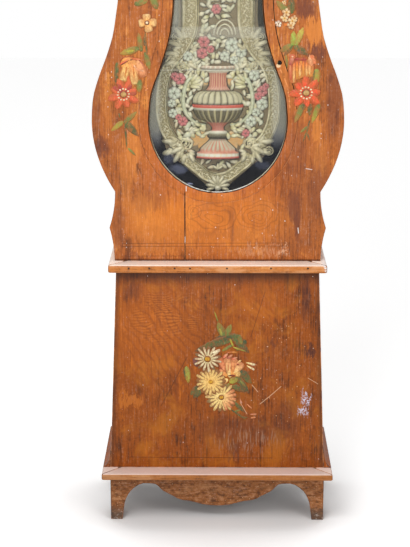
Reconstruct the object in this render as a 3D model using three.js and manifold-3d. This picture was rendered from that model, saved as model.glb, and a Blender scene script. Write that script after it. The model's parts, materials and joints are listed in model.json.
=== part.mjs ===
// A comtoise longcase clock: a painted violin shaped case on bracket feet, a glazed door in front of
// a wide pressed brass pendulum, an iron cage movement with two weights, and a hood round the dial.
// Millimetres, +Z up, the front faces -Y, the origin lies on the floor under the middle of the case.

import * as THREE from 'three';
import Module from 'manifold-3d';
import { mergeVertices } from 'three/addons/utils/BufferGeometryUtils.js';

const wasm = await Module();
wasm.setup();

// Depths, each counted from the upright middle plane of the case
const backReach = 144;
const plinthReach = 86;
const lowerMouldingReach = 144;
const baseReach = 104;
const waistMouldingReach = 124;
const trunkReach = 86;
const hoodBaseReach = 118;
const hoodDoorReach = 112;
const corniceReach = 128;

// Heights of what stands on each other, from the floor up
const plinthHeight = 118;
const lowerMouldingThickness = 15.4;
const baseHeight = 452.1;
const waistMouldingThickness = 17.7;
const trunkHeight = 1206.8;
const hoodBaseThickness = 24;
const hoodSideHeight = 411;
const corniceHeight = 55;

// Half width of the base's foot, and how far each other piece stands out from or back from its neighbour
const baseFootHalf = 236.6;
const plinthStep = 2.4;
const lowerMouldingOverhang = 17.4;
const baseTaper = 18.6;
const waistMouldingOverhang = 15.5;
const trunkFootStep = 3.5;
const earSwell = 10.1;
const notchInset = 3;
const bellySwell = 43.8;
const neckInset = 21.5;
const trunkTopInset = 9.5;
const hoodStep = 4;
const hoodBaseOverhang = 28;
const corniceOverhang = 33;

// Rises above the foot of the trunk, as shares of its height
const earRiseShare = 0.06049;
const notchRiseShare = 0.12579;
const bellyRiseShare = 0.25025;
const neckRiseShare = 0.57756;
const shoulderRiseShare = 0.89493;
const glassBottomRiseShare = 0.12297;
const glassBellyRiseShare = 0.25174;
const glassNeckRiseShare = 0.53613;
const glassArchRiseShare = 0.83444;

// Boards
const plinthBoard = 20;
const baseFrontBoard = 20;
const baseSideBoard = 16;
const backBoard = 12;
const trunkFrontBoard = 20;
const trunkSideBoard = 10;
const seatThickness = 22;
const hoodBoard = 18;
const lowerMouldingSideWidth = 35;
const lowerMouldingFrontWidth = 78;
const waistMouldingSideWidth = 31.5;
const waistMouldingFrontWidth = 58;
const hoodBaseSideWidth = 46;
const mouldingNose = 4;
const coveHeight = 38;
const coveWidth = 16.7;
const coveEdge = 2;

// Bracket feet and apron, as shares of the plinth's half width and height
const apronShares = [
  [0, 0.284], [0.12, 0.305], [0.24, 0.372], [0.35, 0.41], [0.43, 0.5], [0.494, 0.568],
  [0.531, 0.627], [0.572, 0.715], [0.64, 0.735], [0.715, 0.725], [0.795, 0.615],
  [0.842, 0.48], [0.872, 0.3], [0.891, 0]
];
const sideArchShares = [
  [0.14, 0], [0.165, 0.3], [0.2, 0.48], [0.27, 0.64], [0.36, 0.71], [0.5, 0.72]
];

// Rise of the trunk's outline from belly to neck: share of the height, share of the width lost
const bellyToNeckShares = [
  [0, 0], [0.08, 0.022], [0.15, 0.085], [0.21, 0.195], [0.27, 0.325], [0.33, 0.47], [0.39, 0.6],
  [0.455, 0.72], [0.52, 0.79], [0.64, 0.9], [0.8, 0.968], [1, 1]
];

// Glazed door
const glassBellyInset = 118.3;
const glassNeckInset = 110;
const glassNarrowingShares = [
  [0, 0], [0.08, 0.035], [0.155, 0.095], [0.23, 0.23], [0.3, 0.4], [0.4, 0.6], [0.49, 0.76],
  [0.59, 0.87], [0.73, 0.95], [1, 1]
];
const stileWidth = 19.5;
const stileThickness = 18;
const doorGap = 1.5;
const rebateWidth = 7;
const rebateDepth = 10;
const glassThickness = 2.5;
const glassFit = 0.4;
const plankJointInset = 20;
const plankJointGap = 1;
const seatFit = 0.3;

// Door hinges and lock
const hingeAboveNeck = 73;
const hingeSpacing = 250;
const hingeAxisOut = 4.6;
const knuckleRadius = 4.2;
const knuckleLength = 32;
const hingePinRadius = 2;
const hingeFit = 0.3;
const leafWidth = 15;
const leafThickness = 1.6;
const leafSetback = 3;
const keyholeInset = 19;
const keyholeRiseShare = 0.35693;
const keyholeRadius = 5;
const lockTilt = 18;
const lockWidth = 16;
const lockHeight = 50;
const lockDepth = 11;
const boltHeight = 14;
const boltThickness = 4.5;
const boltLength = 13;
const boltRecess = 2.4;

// Hood, all above the picture's edge
const hoodDoorThickness = 20;
const hoodRail = 32;
const hoodDoorInset = 2;
const hoodDoorClearance = 4;
const hoodPivotRadius = 3;
const hoodPivotLength = 8;
const hoodPivotInset = 5;
const hoodSwingGap = 1.5;
const hoodPivotFit = 0.3;
const hoodPaneThickness = 3;
const hoodPaneLap = 6;
const hoodKnobRadius = 8;
const hoodKnobLength = 16;
const hoodKnobShares = [[0, 0], [0.5, 0], [0.5, 0.5], [1, 0.65], [1, 0.85], [0.5, 1], [0, 1]];
const corniceInnerHeight = 34;
const corniceStepShares = [
  [-0.12, 0], [-0.12, 0.2], [-0.09, 0.24], [-0.088, 0.4], [-0.06, 0.56], [-0.018, 0.72],
  [-0.008, 0.78], [0, 0.82], [0, 1]
];

// Movement cage
const cageHalf = 140;
const cageFront = 15;
const cageDepth = 106;
const cageHeadRoom = 18;
const cagePlate = 6;
const frameBar = 5;
const frameEdge = 16;
const pivotBarHalf = 12;
const bridgeHalf = 55;
const bridgeGap = 26;
const bridgeThickness = 4;
const bridgePost = 5;
const bridgePostLap = 1;
const runningFit = 0.3;

// Train, places above the seat board
const dialRise = 200;
const barrelRise = 150;
const barrelAcross = 68;
const escapeRise = 130;
const anchorRise = 85;
const thirdRise = 163.43;
const thirdAcross = 26.7;
const drumRadius = 30;
const drumLength = 36;
const barrelArborRadius = 4;
const drumFlange = 3;
const drumFlangeLip = 4;
const greatWheelRadius = 76.7;
const strikeWheelRadius = 50;
const centrePinionRadius = 7.35;
const centreWheelRadius = 40;
const thirdPinionRadius = 5;
const thirdWheelRadius = 37.5;
const escapePinionRadius = 5;
const escapeWheelRadius = 24;
const escapeToothDepth = 4;
const wheelThickness = 3;
const arborRadius = 2.5;
const centreArborRadius = 3;
const drumFront = 56;
const greatWheelFront = 96;
const centreWheelFront = 34;
const thirdWheelFront = 26;
const escapeWheelFront = 40;
const wheelCounts = { drum: 24, wheel: 36, pinion: 10, arbor: 10, teeth: 30, crossings: 4, cord: 8 };
const crossingRadiusShare = 0.25;
const crossingOutShare = 0.52;

// Anchor, crutch, hammer and bell
const anchorSpan = 22;
const anchorLift = 26;
const anchorArm = 6;
const anchorHookShare = 1.2;
const crutchLength = 60;
const crutchWidth = 7;
const crutchThickness = 2.5;
const forkReach = 26;
const forkGap = 6.6;
const forkProng = 2.5;
const bellRadius = 55;
const bellHeight = 36;
const bellWall = 3;
const bellArc = 80;
const bellPostShare = 0.98;
const bellRise = 18;
const bellPostRadius = 4;
const hammerAcross = 92;
const hammerPostRadius = 4;
const hammerHeadRadius = 8;
const hammerHeadLength = 18;
const hammerArm = 5;
const hammerGap = 1;

// Dial and hands
const dialRadius = 118;
const dialThickness = 3;
const dialBulge = 4;
const dialOut = 66;
const dialHole = 8;
const dialSectionShares = [[1, 0], [1, 0.215], [0.97, 0.43], [0.6, 0.857]];
const windingHole = 7;
const surroundClearance = 20;
const surroundBottom = 160;
const surroundShoulder = 130;
const surroundTop = 216;
const surroundHole = 112;
const surroundThickness = 3;
const surroundArchShare = 0.86;
const dialPillarShares = [0.2273, 0.841];
const dialPillarRadius = 3.5;
const hourHandLength = 72;
const minuteHandLength = 104;
const handThickness = 1.6;
const handSpacing = 4;
const handShares = [[1.6, 0], [0.45, 0.14], [0.45, 0.55], [1.3, 0.68], [0.5, 0.8], [0, 1]];
const handTailShares = [0.9, 1.5];
const hourPipe = 7;
const minutePipe = 5;
const pipeFit = 0.3;
const restHourAngle = -55;
const restMinuteAngle = 60;

// Weights and their cords
const weightRadius = 35;
const weightLength = 150;
const weightDepth = 74;
const weightTopDrop = 370;
const weightHookRadius = 4;
const weightHookLength = 24;
const weightShares = [[0.94, 1], [1, 0.97], [1, 0.05], [0.9, 0]];
const cordRadius = 1.5;
const cordSlotHalf = 10;

// Pendulum, hung on a stud of the cage
const suspensionRise = 115;
const pendulumPlane = 14;
const studRadius = 3;
const studFit = 0.3;
const rodWidth = 6;
const rodThickness = 4;
const eyeRadius = 8;
const pendulumPlateHalf = 129;
const pendulumPlateDrop = 1175.5;
const pendulumPlateHeight = 402;
const pendulumSheet = 3;
const pendulumUpperHalf = 80;
const pendulumUpperTopHalf = 42;
const pendulumUpperHeight = 520;
const bobRadius = 70;
const bobThickness = 16;
const bobDrop = 1004;
const urnRelief = 9;
const rimRelief = 5;
const rimWidthShare = 0.15;
const rimHalfShare = 0.98;
const rimHeightShare = 0.36;
const rimMiddleShare = 0.52;
const urnWidestShare = 0.4;
const upperTaperShares = [[1, 0], [0.82, 0.2]];
const upperCrownShares = [[1, 0.45], [1, 0.92], [0.7, 0.976], [0.2, 1]];
const plateOutlineShares = [
  [0.62, 0], [0.68, 0.1], [0.775, 0.21], [0.87, 0.292], [0.95, 0.42], [1, 0.57], [0.99, 0.625],
  [0.94, 0.72], [0.86, 0.8], [0.75, 0.855], [0.55, 0.895], [0.34, 0.942], [0.25, 0.975], [0.1, 1]
];
const urnShares = [
  [0, 0.31], [0.31, 0.31], [0.31, 0.335], [0.16, 0.36], [0.14, 0.4], [0.3, 0.43], [0.4, 0.465],
  [0.4, 0.5], [0.3, 0.555], [0.13, 0.6], [0.1, 0.64], [0.2, 0.7], [0.33, 0.74], [0.33, 0.775], [0, 0.775]
];

// Steps of round shapes
const arcSteps = 12;
const cutOverrun = 5;
const half = 0.5;
const quarterTurn = Math.PI * half;
const degree = quarterTurn / 90;
const mergeTolerance = 1e-4;

// Half widths and places worked out from the sizes above
const plinthHalf = baseFootHalf + plinthStep;
const lowerMouldingHalf = baseFootHalf + lowerMouldingOverhang;
const baseTopHalf = baseFootHalf - baseTaper;
const waistMouldingHalf = baseTopHalf + waistMouldingOverhang;
const trunkFootHalf = baseTopHalf + trunkFootStep;
const earHalf = trunkFootHalf + earSwell;
const notchHalf = trunkFootHalf - notchInset;
const bellyHalf = trunkFootHalf + bellySwell;
const neckHalf = trunkFootHalf - neckInset;
const trunkTopHalf = trunkFootHalf - trunkTopInset;
const hoodHalf = trunkTopHalf + hoodStep;
const hoodBaseHalf = trunkTopHalf + hoodBaseOverhang;
const corniceHalf = trunkTopHalf + corniceOverhang;
const hoodDoorHalf = hoodHalf - hoodDoorInset;
const surroundHalf = hoodHalf - hoodBoard - surroundClearance;
const glassBellyHalf = bellyHalf - glassBellyInset;
const keyholeAcross = glassBellyHalf - keyholeInset;
const lowerMouldingZ = plinthHeight;
const baseZ = lowerMouldingZ + lowerMouldingThickness;
const waistZ = baseZ + baseHeight;
const trunkZ = waistZ + waistMouldingThickness;
const trunkTopZ = trunkZ + trunkHeight;
const hoodZ = trunkTopZ + hoodBaseThickness;
const corniceZ = hoodZ + hoodSideHeight;
const innerBack = backReach - backBoard;
const glassNeckHalf = neckHalf - glassNeckInset;
const plankJoint = glassNeckHalf - plankJointInset;
const earRise = trunkHeight * earRiseShare;
const notchRise = trunkHeight * notchRiseShare;
const bellyRise = trunkHeight * bellyRiseShare;
const neckRise = trunkHeight * neckRiseShare;
const shoulderRise = trunkHeight * shoulderRiseShare;
const glassBottomRise = trunkHeight * glassBottomRiseShare;
const glassBellyRise = trunkHeight * glassBellyRiseShare;
const glassNeckRise = trunkHeight * glassNeckRiseShare;
const glassArchRise = trunkHeight * glassArchRiseShare;
const hingeRise = glassNeckRise + hingeAboveNeck;
const keyholeRise = glassBellyRise + keyholeRiseShare * (glassNeckRise - glassBellyRise);
const cageHeight = dialRise + centreWheelRadius + cageHeadRoom + cagePlate;
const sideTopRise = trunkHeight - seatThickness;

// Finishes
const walnut = new THREE.MeshStandardMaterial({ color: 0xb06a33, roughness: 0.5 });
const darkWalnut = new THREE.MeshStandardMaterial({ color: 0x8f5429, roughness: 0.55 });
const moulding = new THREE.MeshStandardMaterial({ color: 0xc58148, roughness: 0.5 });
const deal = new THREE.MeshStandardMaterial({ color: 0x9a7448, roughness: 0.8 });
const pane = new THREE.MeshStandardMaterial({
  color: 0xbfd0d4, roughness: 0.05, transparent: true, opacity: 0.3
});
const iron = new THREE.MeshStandardMaterial({ color: 0x4a4643, roughness: 0.6, metalness: 0.8 });
const brass = new THREE.MeshStandardMaterial({ color: 0xb08d45, roughness: 0.35, metalness: 0.9 });
const pressedBrass = new THREE.MeshStandardMaterial({ color: 0x8f8456, roughness: 0.45, metalness: 0.7 });
const enamel = new THREE.MeshStandardMaterial({ color: 0xf0ece0, roughness: 0.25 });
const castIron = new THREE.MeshStandardMaterial({ color: 0x3c3a38, roughness: 0.7, metalness: 0.6 });
const cord = new THREE.MeshStandardMaterial({ color: 0xb9a27c, roughness: 0.9 });

// Solids: a closed geometry becomes a manifold for a cut or a join, and goes back to a geometry
function solidOf(geometry) {
  const bare = geometry.index ? geometry.toNonIndexed() : geometry.clone();
  bare.deleteAttribute('normal');
  bare.deleteAttribute('uv');
  const merged = mergeVertices(bare, mergeTolerance);
  return new wasm.Manifold(new wasm.Mesh({
    numProp: 3,
    vertProperties: new Float32Array(merged.attributes.position.array),
    triVerts: new Uint32Array(merged.index.array)
  }));
}

function geometryOf(solid) {
  const mesh = solid.getMesh();
  const geometry = new THREE.BufferGeometry();
  const positions = new THREE.BufferAttribute(new Float32Array(mesh.vertProperties), mesh.numProp);
  geometry.setAttribute('position', positions);
  geometry.setIndex(new THREE.BufferAttribute(new Uint32Array(mesh.triVerts), 1));
  geometry.computeVertexNormals();
  return geometry;
}

function join(first, ...others) {
  return geometryOf(others.reduce((sum, next) => sum.add(solidOf(next)), solidOf(first)));
}

function cut(first, ...others) {
  return geometryOf(others.reduce((rest, next) => rest.subtract(solidOf(next)), solidOf(first)));
}

function common(first, second) {
  return geometryOf(solidOf(first).intersect(solidOf(second)));
}

// Basic forms in their places
function block(x0, x1, y0, y1, z0, z1) {
  const box = new THREE.BoxGeometry(x1 - x0, y1 - y0, z1 - z0);
  return box.translate((x0 + x1) * half, (y0 + y1) * half, (z0 + z1) * half);
}

function vectors(points) {
  return points.map(([x, z]) => new THREE.Vector2(x, z));
}

// An outline in X and Z, given thickness from y0 back to y1
function plate(points, y0, y1, holes = []) {
  const shape = new THREE.Shape(points);
  for (const hole of holes) {
    shape.holes.push(new THREE.Path(hole));
  }
  const geometry = new THREE.ExtrudeGeometry(shape, { depth: y1 - y0, bevelEnabled: false });
  return geometry.rotateX(quarterTurn).translate(0, y1, 0);
}

// An outline in Y and Z, given thickness from x0 to x1
function sidePlate(points, x0, x1) {
  const shape = new THREE.Shape(points);
  const geometry = new THREE.ExtrudeGeometry(shape, { depth: x1 - x0, bevelEnabled: false });
  return geometry.rotateX(quarterTurn).rotateZ(quarterTurn).translate(x0, 0, 0);
}

function circle(radius, x, z, count) {
  return Array.from({ length: count }, (_, i) => {
    const angle = (i / count) * Math.PI * 2;
    return new THREE.Vector2(x + radius * Math.cos(angle), z + radius * Math.sin(angle));
  });
}

function rodAlongY(radius, x, z, y0, y1, count) {
  const rod = new THREE.CylinderGeometry(radius, radius, y1 - y0, count);
  return rod.translate(x, (y0 + y1) * half, z);
}

function rodAlongZ(radius, x, y, z0, z1, count) {
  const rod = new THREE.CylinderGeometry(radius, radius, z1 - z0, count);
  return rod.rotateX(quarterTurn).translate(x, y, (z0 + z1) * half);
}

function turned(points, count) {
  return new THREE.LatheGeometry(vectors(points), count).rotateX(quarterTurn);
}

function mirrored(points) {
  return points.map((p) => new THREE.Vector2(-p.x, p.y)).reverse();
}

function smooth(points, steps) {
  return new THREE.SplineCurve(vectors(points)).getPoints(steps);
}

// A line moved sideways to its right by a distance, with sharp corners kept sharp
function offsetLine(points, distance) {
  return points.map((p, i) => {
    const before = points[Math.max(i - 1, 0)];
    const after = points[Math.min(i + 1, points.length - 1)];
    const a = new THREE.Vector2().subVectors(i > 0 ? p : after, i > 0 ? before : p).normalize();
    const open = i < points.length - 1;
    const b = new THREE.Vector2().subVectors(open ? after : p, open ? p : before).normalize();
    const sum = new THREE.Vector2(a.y + b.y, -a.x - b.x).normalize();
    const stretch = distance / (sum.x * a.y - sum.y * a.x);
    return new THREE.Vector2(p.x + sum.x * stretch, p.y + sum.y * stretch);
  });
}

// One side of a mitred moulding: its section is a list of reach and height, swept between two corners
function mouldingStrip(section, cornerA, cornerB) {
  const count = section.length;
  const rows = [cornerA, cornerB].map((corner) => section.map(([reach, z]) => [...corner(reach), z]));
  const positions = rows.flat(2);
  const faces = THREE.ShapeUtils.triangulateShape(vectors(section), []);
  const index = [];
  for (const [a, b, c] of faces) {
    index.push(a, b, c, count + a, count + c, count + b);
  }
  for (let i = 0; i < count; i += 1) {
    const next = (i + 1) % count;
    index.push(i, count + i, next, next, count + i, count + next);
  }
  const geometry = new THREE.BufferGeometry();
  geometry.setAttribute('position', new THREE.Float32BufferAttribute(positions, 3));
  geometry.setIndex(index);
  geometry.computeVertexNormals();
  return signedVolume(geometry) < 0 ? flipped(geometry) : geometry;
}

function signedVolume(geometry) {
  const p = geometry.attributes.position;
  const at = (i) => new THREE.Vector3().fromBufferAttribute(p, i);
  let sum = 0;
  for (let i = 0; i < geometry.index.count; i += 3) {
    const [a, b, c] = [0, 1, 2].map((k) => at(geometry.index.getX(i + k)));
    sum += a.dot(b.cross(c));
  }
  return sum;
}

function flipped(geometry) {
  const turnedIndex = [];
  for (let i = 0; i < geometry.index.count; i += 3) {
    turnedIndex.push(geometry.index.getX(i), geometry.index.getX(i + 2), geometry.index.getX(i + 1));
  }
  geometry.setIndex(turnedIndex);
  geometry.computeVertexNormals();
  return geometry;
}

// Section of a shelf moulding whose outer edge is rounded above and below
function shelfSection(thickness, width, bottomZ) {
  const points = [[-width, bottomZ], [-mouldingNose, bottomZ]];
  const steps = arcSteps / 3;
  for (let i = 1; i <= steps; i += 1) {
    const angle = (i / steps) * quarterTurn;
    points.push([mouldingNose * (Math.sin(angle) - 1), bottomZ + mouldingNose * (1 - Math.cos(angle))]);
  }
  for (let i = 0; i <= steps; i += 1) {
    const angle = (i / steps) * quarterTurn;
    points.push([
      mouldingNose * (Math.cos(angle) - 1),
      bottomZ + thickness - mouldingNose * (1 - Math.sin(angle))
    ]);
  }
  points.push([-width, bottomZ + thickness]);
  return points;
}

function addShelfMoulding(parent, name, size, material) {
  const corners = {
    frontLeft: (reach) => [-size.half - reach, -size.reach - reach],
    frontRight: (reach) => [size.half + reach, -size.reach - reach],
    backLeft: (reach) => [-size.half - reach, size.back],
    backRight: (reach) => [size.half + reach, size.back]
  };
  const front = shelfSection(size.thickness, size.frontWidth, size.z);
  const side = shelfSection(size.thickness, size.sideWidth, size.z);
  addPiece(parent, `${name}_front`, mouldingStrip(front, corners.frontLeft, corners.frontRight), material);
  addPiece(parent, `${name}_left`, mouldingStrip(side, corners.backLeft, corners.frontLeft), material);
  addPiece(parent, `${name}_right`, mouldingStrip(side, corners.frontRight, corners.backRight), material);
}

const clock = new THREE.Group();

function addGroup(parent, x, y, z) {
  const group = new THREE.Group();
  group.position.set(x, y, z);
  parent.add(group);
  return group;
}

function addPiece(parent, name, geometry, material) {
  const mesh = new THREE.Mesh(geometry, material);
  mesh.name = name;
  parent.add(mesh);
  return mesh;
}

// Plinth: a front with a wavy apron between bracket feet, and two arched sides
function plinth() {
  const wave = smooth(apronShares.map(([x, z]) => [x * plinthHalf, z * plinthHeight]), arcSteps * 2);
  const rightHalf = [...wave, ...vectors([[plinthHalf, 0], [plinthHalf, plinthHeight]])];
  const outline = [...rightHalf, ...mirrored(rightHalf).slice(0, -1)];
  addPiece(clock, 'plinth_front', plate(outline, -plinthReach, -plinthReach + plinthBoard), darkWalnut);

  const front = -plinthReach + plinthBoard;
  const length = backReach - front;
  const archFront = sideArchShares.map(([y, z]) => [front + y * length, z * plinthHeight]);
  const archBack = sideArchShares.map(([y, z]) => [backReach - y * length, z * plinthHeight]).reverse();
  const arch = smooth([...archFront, ...archBack.slice(1)], arcSteps * 2);
  const side = [
    ...vectors([[front, 0]]), ...arch,
    ...vectors([[backReach, 0], [backReach, plinthHeight], [front, plinthHeight]])
  ];
  addPiece(clock, 'plinth_left', sidePlate(side, -plinthHalf, -plinthHalf + plinthBoard), darkWalnut);
  addPiece(clock, 'plinth_right', sidePlate(side, plinthHalf - plinthBoard, plinthHalf), darkWalnut);
}

// Base box, narrower at the top, with a hollow moulding along the foot of each flank
function baseBox() {
  const slope = (baseFootHalf - baseTopHalf) / baseHeight;
  const outline = vectors([
    [-baseFootHalf, baseZ], [baseFootHalf, baseZ], [baseTopHalf, waistZ], [-baseTopHalf, waistZ]
  ]);
  addPiece(clock, 'base_front_panel', plate(outline, -baseReach, -baseReach + baseFrontBoard), walnut);
  addPiece(clock, 'base_back', plate(outline, innerBack, backReach), deal);
  for (const [name, side] of [['left', -1], ['right', 1]]) {
    const board = vectors([
      [side * (baseFootHalf - baseSideBoard), baseZ], [side * baseFootHalf, baseZ],
      [side * baseTopHalf, waistZ], [side * (baseTopHalf - baseSideBoard), waistZ]
    ]);
    addPiece(clock, `base_${name}_side`, plate(board, -baseReach + baseFrontBoard, innerBack), walnut);

    const cove = vectors([[side * baseFootHalf, baseZ], [side * (baseFootHalf + coveWidth), baseZ]]);
    for (let i = 0; i <= arcSteps * half; i += 1) {
      const angle = (i / (arcSteps * half)) * quarterTurn;
      const out = coveEdge + (coveWidth - coveEdge) * (1 - Math.sin(angle));
      const z = baseZ + coveEdge + (coveHeight - coveEdge) * (1 - Math.cos(angle));
      cove.push(new THREE.Vector2(side * (baseFootHalf - slope * (z - baseZ) + out), z));
    }
    cove.push(new THREE.Vector2(side * (baseFootHalf - slope * coveHeight), baseZ + coveHeight));
    addPiece(clock, `base_cove_${name}`, plate(cove, -baseReach, backReach), walnut);
  }
}

// Right hand outline of the trunk from its foot up: ear, sharp notch, belly, neck and shoulder
function trunkSideLine() {
  const points = [];
  const earSteps = arcSteps * half;
  for (let i = 0; i <= earSteps; i += 1) {
    const t = i / earSteps;
    points.push([trunkFootHalf + (earHalf - trunkFootHalf) * t ** 2, earRise * t]);
  }
  for (let i = 1; i <= earSteps; i += 1) {
    const t = i / earSteps;
    points.push([notchHalf + (earHalf - notchHalf) * (1 - t) ** 2, earRise + (notchRise - earRise) * t]);
  }
  const bellySteps = arcSteps - 2;
  for (let i = 1; i <= bellySteps; i += 1) {
    const t = i / bellySteps;
    points.push([
      notchHalf + (bellyHalf - notchHalf) * (1 - (1 - t) ** 2), notchRise + (bellyRise - notchRise) * t
    ]);
  }
  const upper = smooth(bellyToNeckShares.map(([rise, loss]) => [
    bellyHalf - loss * (bellyHalf - neckHalf), bellyRise + rise * (neckRise - bellyRise)
  ]), arcSteps + 4);
  points.push(...upper.slice(1).map((p) => [p.x, p.y]));
  const flareSteps = arcSteps / 3;
  for (let i = 0; i <= flareSteps; i += 1) {
    const t = i / flareSteps;
    points.push([
      neckHalf + (trunkTopHalf - neckHalf) * t ** 2, shoulderRise + (trunkHeight - shoulderRise) * t
    ]);
  }
  return vectors(points);
}

function closedBoth(rightLine) {
  return [...rightLine, ...mirrored(rightLine)];
}

// Right hand outline of the glass from its lowest point to the top of its arch, moved out by a margin
function glassLine(margin) {
  const points = [];
  for (let i = 0; i < arcSteps; i += 1) {
    const angle = (i / arcSteps) * quarterTurn;
    points.push([
      glassBellyHalf * Math.sin(angle),
      glassBellyRise - (glassBellyRise - glassBottomRise) * Math.cos(angle)
    ]);
  }
  const upper = smooth(glassNarrowingShares.map(([rise, loss]) => [
    glassBellyHalf - loss * (glassBellyHalf - glassNeckHalf),
    glassBellyRise + rise * (glassNeckRise - glassBellyRise)
  ]), arcSteps + 2);
  points.push(...upper.map((p) => [p.x, p.y]));
  for (let i = 0; i <= arcSteps; i += 1) {
    const angle = (i / arcSteps) * quarterTurn;
    points.push([glassNeckHalf * Math.cos(angle), glassArchRise + glassNeckHalf * Math.sin(angle)]);
  }
  const line = offsetLine(vectors(points), margin);
  line[0].x = 0;
  line[line.length - 1].x = 0;
  return line;
}

function glassOutline(margin) {
  const right = glassLine(margin);
  return [...right, ...mirrored(right).slice(1, -1)];
}

// Trunk: two planks make the front, with the door opening between them, and thin boards follow its sides
function trunk() {
  const group = addGroup(clock, 0, 0, trunkZ);
  const line = trunkSideLine();
  const front = -trunkReach;
  const behindFront = front + trunkFrontBoard;
  const board = plate(closedBoth(line), front, behindFront);
  const opening = plate(glassOutline(stileWidth + doorGap), front - cutOverrun, behindFront + cutOverrun);
  const pierced = cut(board, opening);
  const wide = bellyHalf + cutOverrun;
  const tall = trunkHeight + cutOverrun;
  const jointLeft = -plankJoint - plankJointGap * half;
  const jointRight = -plankJoint + plankJointGap * half;
  const leftSpace = block(-wide, jointLeft, front - cutOverrun, behindFront + cutOverrun, -cutOverrun, tall);
  const rightSpace = block(jointRight, wide, front - cutOverrun, behindFront + cutOverrun, -cutOverrun, tall);
  addPiece(group, 'trunk_front_left', common(pierced, leftSpace), walnut);
  addPiece(group, 'trunk_front_right', common(pierced, rightSpace), walnut);

  const inner = offsetLine(line, -trunkSideBoard);
  inner[0].y = -cutOverrun;
  inner[inner.length - 1].y = trunkHeight + cutOverrun;
  const shell = cut(
    plate(closedBoth(line), behindFront, innerBack),
    plate(closedBoth(inner), behindFront - cutOverrun, innerBack + cutOverrun)
  );
  for (const [name, side] of [['left', -1], ['right', 1]]) {
    const [x0, x1] = [0, side * wide].sort((a, b) => a - b);
    const space = block(x0, x1, behindFront - cutOverrun, innerBack + cutOverrun, -cutOverrun, sideTopRise);
    addPiece(group, `trunk_${name}_side`, common(shell, space), walnut);
  }

  const backTop = corniceZ - trunkZ - seatFit;
  const backHalf = hoodHalf - hoodBoard - seatFit;
  const headBoard = vectors([[backHalf, trunkHeight], [backHalf, backTop]]);
  addPiece(group, 'trunk_back', plate(closedBoth([...line, ...headBoard]), innerBack, backReach), deal);
}

// Seat board across the top of the trunk's sides, open for the pendulum and the two cords
function seatBoard() {
  const group = addGroup(clock, 0, 0, trunkTopZ - seatThickness);
  const front = -trunkReach + trunkFrontBoard;
  const board = block(-trunkTopHalf, trunkTopHalf, front, innerBack, 0, seatThickness);
  const holes = [block(
    -pendulumUpperTopHalf, pendulumUpperTopHalf, front - cutOverrun, cageFront - cutOverrun,
    -cutOverrun, seatThickness + cutOverrun
  )];
  for (const side of [-1, 1]) {
    const x = side * (barrelAcross + drumRadius + cordRadius);
    holes.push(block(
      x - cordSlotHalf, x + cordSlotHalf, weightDepth - cordSlotHalf, weightDepth + cordSlotHalf,
      -cutOverrun, seatThickness + cutOverrun
    ));
  }
  addPiece(group, 'seat_board', cut(board, ...holes), deal);
}

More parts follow.
